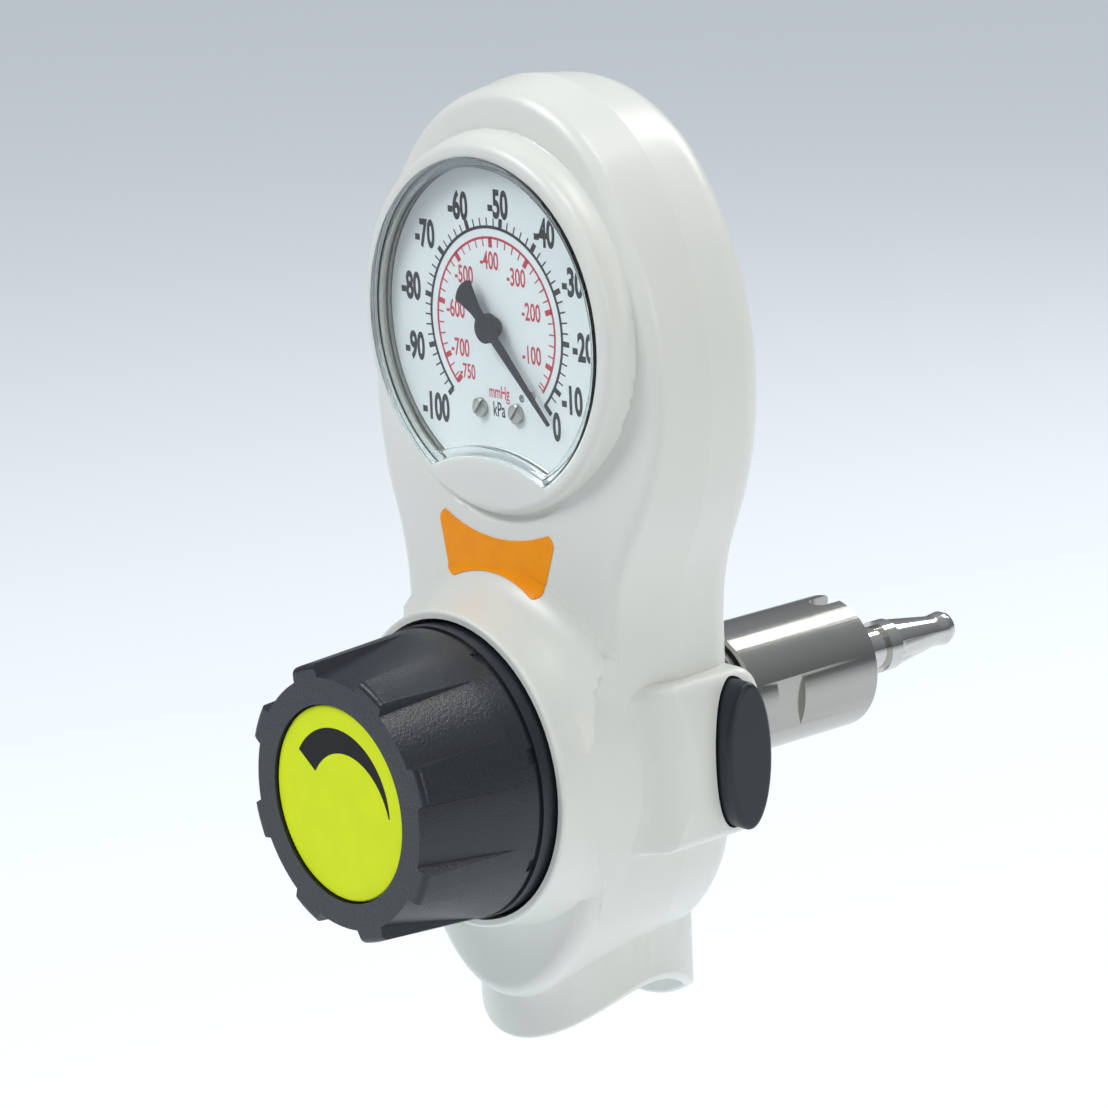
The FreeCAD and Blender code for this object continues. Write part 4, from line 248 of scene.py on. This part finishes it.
def dressed(node_name, angle=28.0, bevel_mm=0.0, bevel_angle=35.0, segments=2):
    """Smooth-shaded copy of a CAD node, its triangles merged and its sharp edges eased, in the node's place."""
    mesh = frame["nodes"][node_name].data.copy()
    piece = bpy.data.objects.new(node_name + "_finished", mesh)
    bpy.context.scene.collection.objects.link(piece)
    pick(piece)
    bpy.ops.object.mode_set(mode="EDIT")
    bpy.ops.mesh.select_all(action="SELECT")
    bpy.ops.mesh.remove_doubles(threshold=WELD_GAP * MM)
    bpy.ops.mesh.dissolve_limited(angle_limit=math.radians(FLAT_ANGLE))
    bpy.ops.object.mode_set(mode="OBJECT")
    if bevel_mm:
        edge = piece.modifiers.new("edge", "BEVEL")
        edge.width = bevel_mm * MM
        edge.segments = segments
        edge.limit_method = "ANGLE"
        edge.angle_limit = math.radians(bevel_angle)
        edge.harden_normals = False
        bpy.ops.object.modifier_apply(modifier="edge")
    bpy.ops.object.shade_smooth_by_angle(angle=math.radians(angle))
    weigh = piece.modifiers.new("weigh", "WEIGHTED_NORMAL")
    weigh.keep_sharp = True
    bpy.ops.object.modifier_apply(modifier="weigh")
    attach(piece, body_of_node(node_name))
    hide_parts(node_name)
    return piece


for node_name in ("rear_gasket", "lock_ring", "sleeve_seal", "inlet_plug",
                  "dial_screws", "stop_pin", "waist_label"):
    dressed(node_name)
dressed("front_housing", 28.0, 0.12, 75.0)
dressed("rear_housing", 28.0, 0.12, 75.0)
dressed("gauge_lens", 28.0, 0.25, 50.0)
dressed("knob", 30.0, 0.5, 24.0, 3)
dressed("knob_disc")
dressed("inlet_sleeve", 28.0, 0.12, 50.0)
dressed("button_cap_right", 28.0)
dressed("button_cap_left", 28.0)
dressed("pointer", 28.0, 0.08, 50.0)


# Printing
def facing_front(piece, x, z, y, turn=0.0):
    """Stand a flat piece up so that it faces the front, turned clockwise by an angle in degrees."""
    spin = Matrix.Rotation(math.radians(turn), 4, "Y") @ Matrix.Rotation(math.radians(90), 4, "X")
    piece.matrix_world = Matrix.Translation(Vector((x, y, z)) * MM) @ spin @ piece.matrix_world
    pick(piece)
    bpy.ops.object.transform_apply(location=True, rotation=True, scale=True)


def printed_word(word, x, z, y, height, narrow, weight, thick=0.03):
    """Word as a thin raised print, its digits of a given height, centred on a point."""
    deselect()
    bpy.ops.object.text_add(location=(0, 0, 0))
    piece = bpy.context.object
    piece.data.body = word
    piece.data.resolution_u = 4
    piece.data.offset = weight
    piece.data.extrude = 0.5
    bpy.ops.object.convert(target="MESH")
    piece = bpy.context.object
    corners = [v.co.copy() for v in piece.data.vertices]
    low = Vector([min(c[i] for c in corners) for i in range(3)])
    high = Vector([max(c[i] for c in corners) for i in range(3)])
    mid = (low + high) / 2
    if word[0].isalpha():
        mid.y = DIGIT_HIGH / 2
    scale = height * MM / DIGIT_HIGH
    piece.matrix_world = (Matrix.Diagonal((scale * narrow, scale, thick * MM, 1.0))
                          @ Matrix.Translation(-mid))
    bpy.ops.object.transform_apply(location=True, rotation=True, scale=True)
    facing_front(piece, x, z, y)
    return piece


def digit_height():
    """Height of a digit of the built-in letters at their own size."""
    deselect()
    bpy.ops.object.text_add(location=(0, 0, 0))
    probe = bpy.context.object
    probe.data.body = "0"
    bpy.ops.object.convert(target="MESH")
    probe = bpy.context.object
    heights = [v.co.y for v in probe.data.vertices]
    bpy.data.objects.remove(probe)
    return max(heights) - min(heights)


DIGIT_HIGH = digit_height()


def printed_tick(angle, start, stop, wide, y, thick=0.03):
    """Straight mark along a radius, its angle clockwise from the top."""
    deselect()
    bpy.ops.mesh.primitive_cube_add(size=1.0, location=(0, 0, 0))
    piece = bpy.context.object
    piece.matrix_world = (Matrix.Translation(Vector((0, (start + stop) / 2, 0)) * MM)
                          @ Matrix.Diagonal((wide * MM, (stop - start) * MM, thick * MM, 1.0)))
    facing_front(piece, 0, GAUGE_Z, y, angle)
    return piece


def printed_band(inner, outer, first, last, y, steps, thick=0.03, up=GAUGE_Z):
    """Arc of print between two radii given as functions of a share from 0 to 1."""
    deselect()
    bpy.ops.mesh.primitive_grid_add(x_subdivisions=steps, y_subdivisions=1, size=1.0)
    piece = bpy.context.object
    for vertex in piece.data.vertices:
        share = vertex.co.x + 0.5
        across = vertex.co.y + 0.5
        angle = math.radians(first + (last - first) * share)
        radius = (inner(share) * (1 - across) + outer(share) * across) * MM
        vertex.co = (radius * math.sin(angle), radius * math.cos(angle), 0.0)
    wall = piece.modifiers.new("wall", "SOLIDIFY")
    wall.thickness = thick * MM
    wall.offset = 0.0
    bpy.ops.object.modifier_apply(modifier="wall")
    facing_front(piece, 0, up, y)
    return piece


def joined(pieces, name, material, body):
    """One print from many pieces, on a body."""
    deselect()
    for piece in pieces:
        piece.select_set(True)
    bpy.context.view_layer.objects.active = pieces[0]
    bpy.ops.object.join()
    whole = bpy.context.object
    whole.name = name
    whole.data.name = name
    bpy.ops.object.mode_set(mode="EDIT")
    bpy.ops.mesh.select_all(action="SELECT")
    bpy.ops.mesh.remove_doubles(threshold=PRINT_WELD_GAP * MM)
    bpy.ops.mesh.normals_make_consistent(inside=False)
    bpy.ops.object.mode_set(mode="OBJECT")
    whole.data.materials.clear()
    whole.data.materials.append(material)
    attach(whole, body)
    return whole


# Dial: outer scale in kPa from -100 to 0, inner scale in mmHg from -750 to 0
FULL_VACUUM_TURN = -135.0
DEGREES_PER_KPA = 2.85
MMHG_PER_KPA = 7.5006
PRINT_Y = DIAL_Y - 0.01
SCALE_END = 135.6
OUTER_RING = (17.2, 17.75)
OUTER_MINOR = (17.6, 19.1, 0.28)
OUTER_MAJOR = (17.6, 19.3, 0.95)
OUTER_ZERO = (17.3, 19.6, 0.95)
INNER_RING = (15.4, 15.85)
INNER_MINOR = (14.1, 15.6, 0.26)
INNER_MAJOR = (13.9, 15.6, 0.95)
INNER_RING_STOP = 131.0
ZERO_GAP_START = -8
ZERO_GAP_TURN = 127.2
ZERO_GAP_SPREAD = 7.8
RING_STEPS = 96


def kpa_turn(value):
    """Angle of a reading, clockwise from the top; the last stretch before zero is shortened."""
    turn = FULL_VACUUM_TURN + (100 + value) * DEGREES_PER_KPA
    if value <= ZERO_GAP_START:
        return turn
    return ZERO_GAP_TURN + (value - ZERO_GAP_START) / -ZERO_GAP_START * ZERO_GAP_SPREAD


black = [printed_band(lambda s: OUTER_RING[0], lambda s: OUTER_RING[1], -SCALE_END, SCALE_END, PRINT_Y,
                      RING_STEPS)]
for value in range(-100, ZERO_GAP_START, 2):
    black.append(printed_tick(kpa_turn(value), *(OUTER_MAJOR if value % 10 == 0 else OUTER_MINOR), PRINT_Y))
black.append(printed_tick(kpa_turn(ZERO_GAP_START), *OUTER_MINOR, PRINT_Y))
black.append(printed_tick(kpa_turn(0), *OUTER_ZERO, PRINT_Y))
OUTER_FIGURES = {-100: (-17.45, -16.42), -90: (-22.55, -5.96), -80: (-22.88, 4.88), -70: (-18.32, 14.62),
                 -60: (-8.89, 20.57), -50: (1.94, 21.65), -40: (13.9, 17.84), -30: (20.7, 9.98),
                 -20: (22.8, -1.04), -10: (19.44, -10.63), 0: (15.17, -15.82)}
for value, (x, z) in OUTER_FIGURES.items():
    black.append(printed_word(str(value), x, z + GAUGE_Z, PRINT_Y, 4.75, 0.6, 0.035))
black.append(printed_word("kPa", 0.0, GAUGE_Z - 14.7, PRINT_Y, 2.6, 0.62, 0.01))
joined(black, "dial_print_black", print_black, "housing")

red = [printed_band(lambda s: INNER_RING[0], lambda s: INNER_RING[1], -SCALE_END, INNER_RING_STOP, PRINT_Y,
                    RING_STEPS)]
for value in range(-740, -39, 20):
    turn = kpa_turn(value / MMHG_PER_KPA)
    red.append(printed_tick(turn, *(INNER_MAJOR if value % 100 == 0 else INNER_MINOR), PRINT_Y))
red.append(printed_tick(kpa_turn(-750 / MMHG_PER_KPA), *INNER_MAJOR, PRINT_Y))
INNER_FIGURES = {-750: (-8.15, -8.9), -700: (-9.89, -4.81), -600: (-10.7, 2.1), -500: (-8.0, 8.4),
                 -400: (-1.0, 11.6), -300: (6.0, 9.3), -200: (9.6, 3.6), -100: (9.3, -3.96)}
for value, (x, z) in INNER_FIGURES.items():
    red.append(printed_word(str(value), x, z + GAUGE_Z, PRINT_Y, 3.1 if value != -750 else 2.6, 0.62, 0.015))
red.append(printed_word("mmHg", 0.2, GAUGE_Z - 11.6, PRINT_Y, 2.3, 0.62, 0.01))
joined(red, "dial_print_red", print_red, "housing")

# Disc of the knob: a wedge that thins out clockwise
WEDGE_INNER, WEDGE_THINNING, WEDGE_CURVE = 7.9, 5.5, 1.6
WEDGE_OUTER, WEDGE_SWELL = 13.3, 0.4
WEDGE_START, WEDGE_STOP, WEDGE_STEPS = -54.4, 90.0, 64
wedge = [printed_band(lambda s: WEDGE_INNER + WEDGE_THINNING * s ** WEDGE_CURVE,
                      lambda s: WEDGE_OUTER + WEDGE_SWELL * s,
                      WEDGE_START, WEDGE_STOP, DISC_Y - 0.01, WEDGE_STEPS, up=0.0)]
joined(wedge, "disc_print", print_black, "knob")


# Stage, in metres
FLOOR_Z = -0.17
FLOOR_SIZE = 14.0
deselect()
bpy.ops.mesh.primitive_plane_add(size=FLOOR_SIZE, location=(0, 0, FLOOR_Z))
floor = bpy.context.object
floor.name = "floor"
floor_paint, shader = new_surface("backdrop_paint", "#e8ecf0", 0.9, Emission_Strength=0.22)
shader.inputs["Emission Color"].default_value = linear("#e9eff5")
floor.data.materials.append(floor_paint)

world = bpy.data.worlds.new("studio")
bpy.context.scene.world = world
world.use_nodes = True
background = world.node_tree.nodes["Background"]
background.inputs["Color"].default_value = linear("#dfe6ee")
# More light from above than from the sides, as in a studio with a bright ceiling
heading = add_node(world, "ShaderNodeTexCoord")
upward = add_node(world, "ShaderNodeSeparateXYZ", {"Vector": heading.outputs["Generated"]})
falloff = add_node(world, "ShaderNodeMapRange", {"Value": upward.outputs["Z"], "From Min": 0.0, "From Max": 0.7,
                                                 "To Min": 0.22, "To Max": 0.56})
world.node_tree.links.new(falloff.outputs["Result"], background.inputs["Strength"])
# The backdrop that the camera sees is paler than the light it gives
backdrop = add_node(world, "ShaderNodeBackground", {"Strength": 0.86})
backdrop.inputs["Color"].default_value = linear("#e9eff5")
sight = add_node(world, "ShaderNodeLightPath")
chosen = add_node(world, "ShaderNodeMixShader")
world.node_tree.links.new(sight.outputs["Is Camera Ray"], chosen.inputs[0])
world.node_tree.links.new(background.outputs["Background"], chosen.inputs[1])
world.node_tree.links.new(backdrop.outputs["Background"], chosen.inputs[2])
world.node_tree.links.new(chosen.outputs["Shader"], world.node_tree.nodes["World Output"].inputs["Surface"])


def softbox(name, place, size, power, aim=(0.0, -0.07, 0.04), colour="#ffffff", high=None):
    """Area lamp at a place in metres, facing the object."""
    lamp = bpy.data.lights.new(name, "AREA")
    lamp.shape = "RECTANGLE"
    lamp.size = size
    lamp.size_y = high or size
    lamp.energy = power
    lamp.color = linear(colour)[:3]
    holder = bpy.data.objects.new(name, lamp)
    bpy.context.scene.collection.objects.link(holder)
    holder.location = place
    way = Vector(aim) - Vector(place)
    holder.rotation_mode = "QUATERNION"
    holder.rotation_quaternion = way.to_track_quat("-Z", "Y")
    return holder


softbox("key_top_left", (-0.5, -0.8, 1.0), 0.45, 8.0)
softbox("top", (0.3, 0.1, 1.1), 0.4, 3.6)
softbox("fill_right", (1.4, -0.15, 0.45), 0.5, 3.4, colour="#fff1dc")
softbox("rear_strip", (-0.12, 1.0, 0.75), 0.3, 4.5, aim=(0.0, 0.03, 0.0), high=0.6)

# Camera
TURN, RISE, ROLL = (math.radians(a) for a in (49.3575, 14.0809, -2.4322))
EYE = Vector((526.341, -520.541, 208.381)) * MM
FOCAL_PIXELS = 4010.38
PICTURE_PIXELS = 1108
SENSOR_MM = 36.0
back = Vector((math.sin(TURN) * math.cos(RISE), -math.cos(TURN) * math.cos(RISE), math.sin(RISE)))
level = Vector((math.cos(TURN), math.sin(TURN), 0.0))
upright = back.cross(level)
right = math.cos(ROLL) * level + math.sin(ROLL) * upright
up = -math.sin(ROLL) * level + math.cos(ROLL) * upright
camera = bpy.data.objects.new("camera", bpy.data.cameras.new("camera"))
bpy.context.scene.collection.objects.link(camera)
camera.matrix_world = Matrix((
    (right.x, up.x, back.x, EYE.x),
    (right.y, up.y, back.y, EYE.y),
    (right.z, up.z, back.z, EYE.z),
    (0, 0, 0, 1)))
camera.data.sensor_width = SENSOR_MM
camera.data.lens = SENSOR_MM * FOCAL_PIXELS / PICTURE_PIXELS
camera.data.clip_start = 0.01
camera.data.clip_end = 50.0
bpy.context.scene.camera = camera
bpy.context.scene.view_settings.view_transform = "Standard"
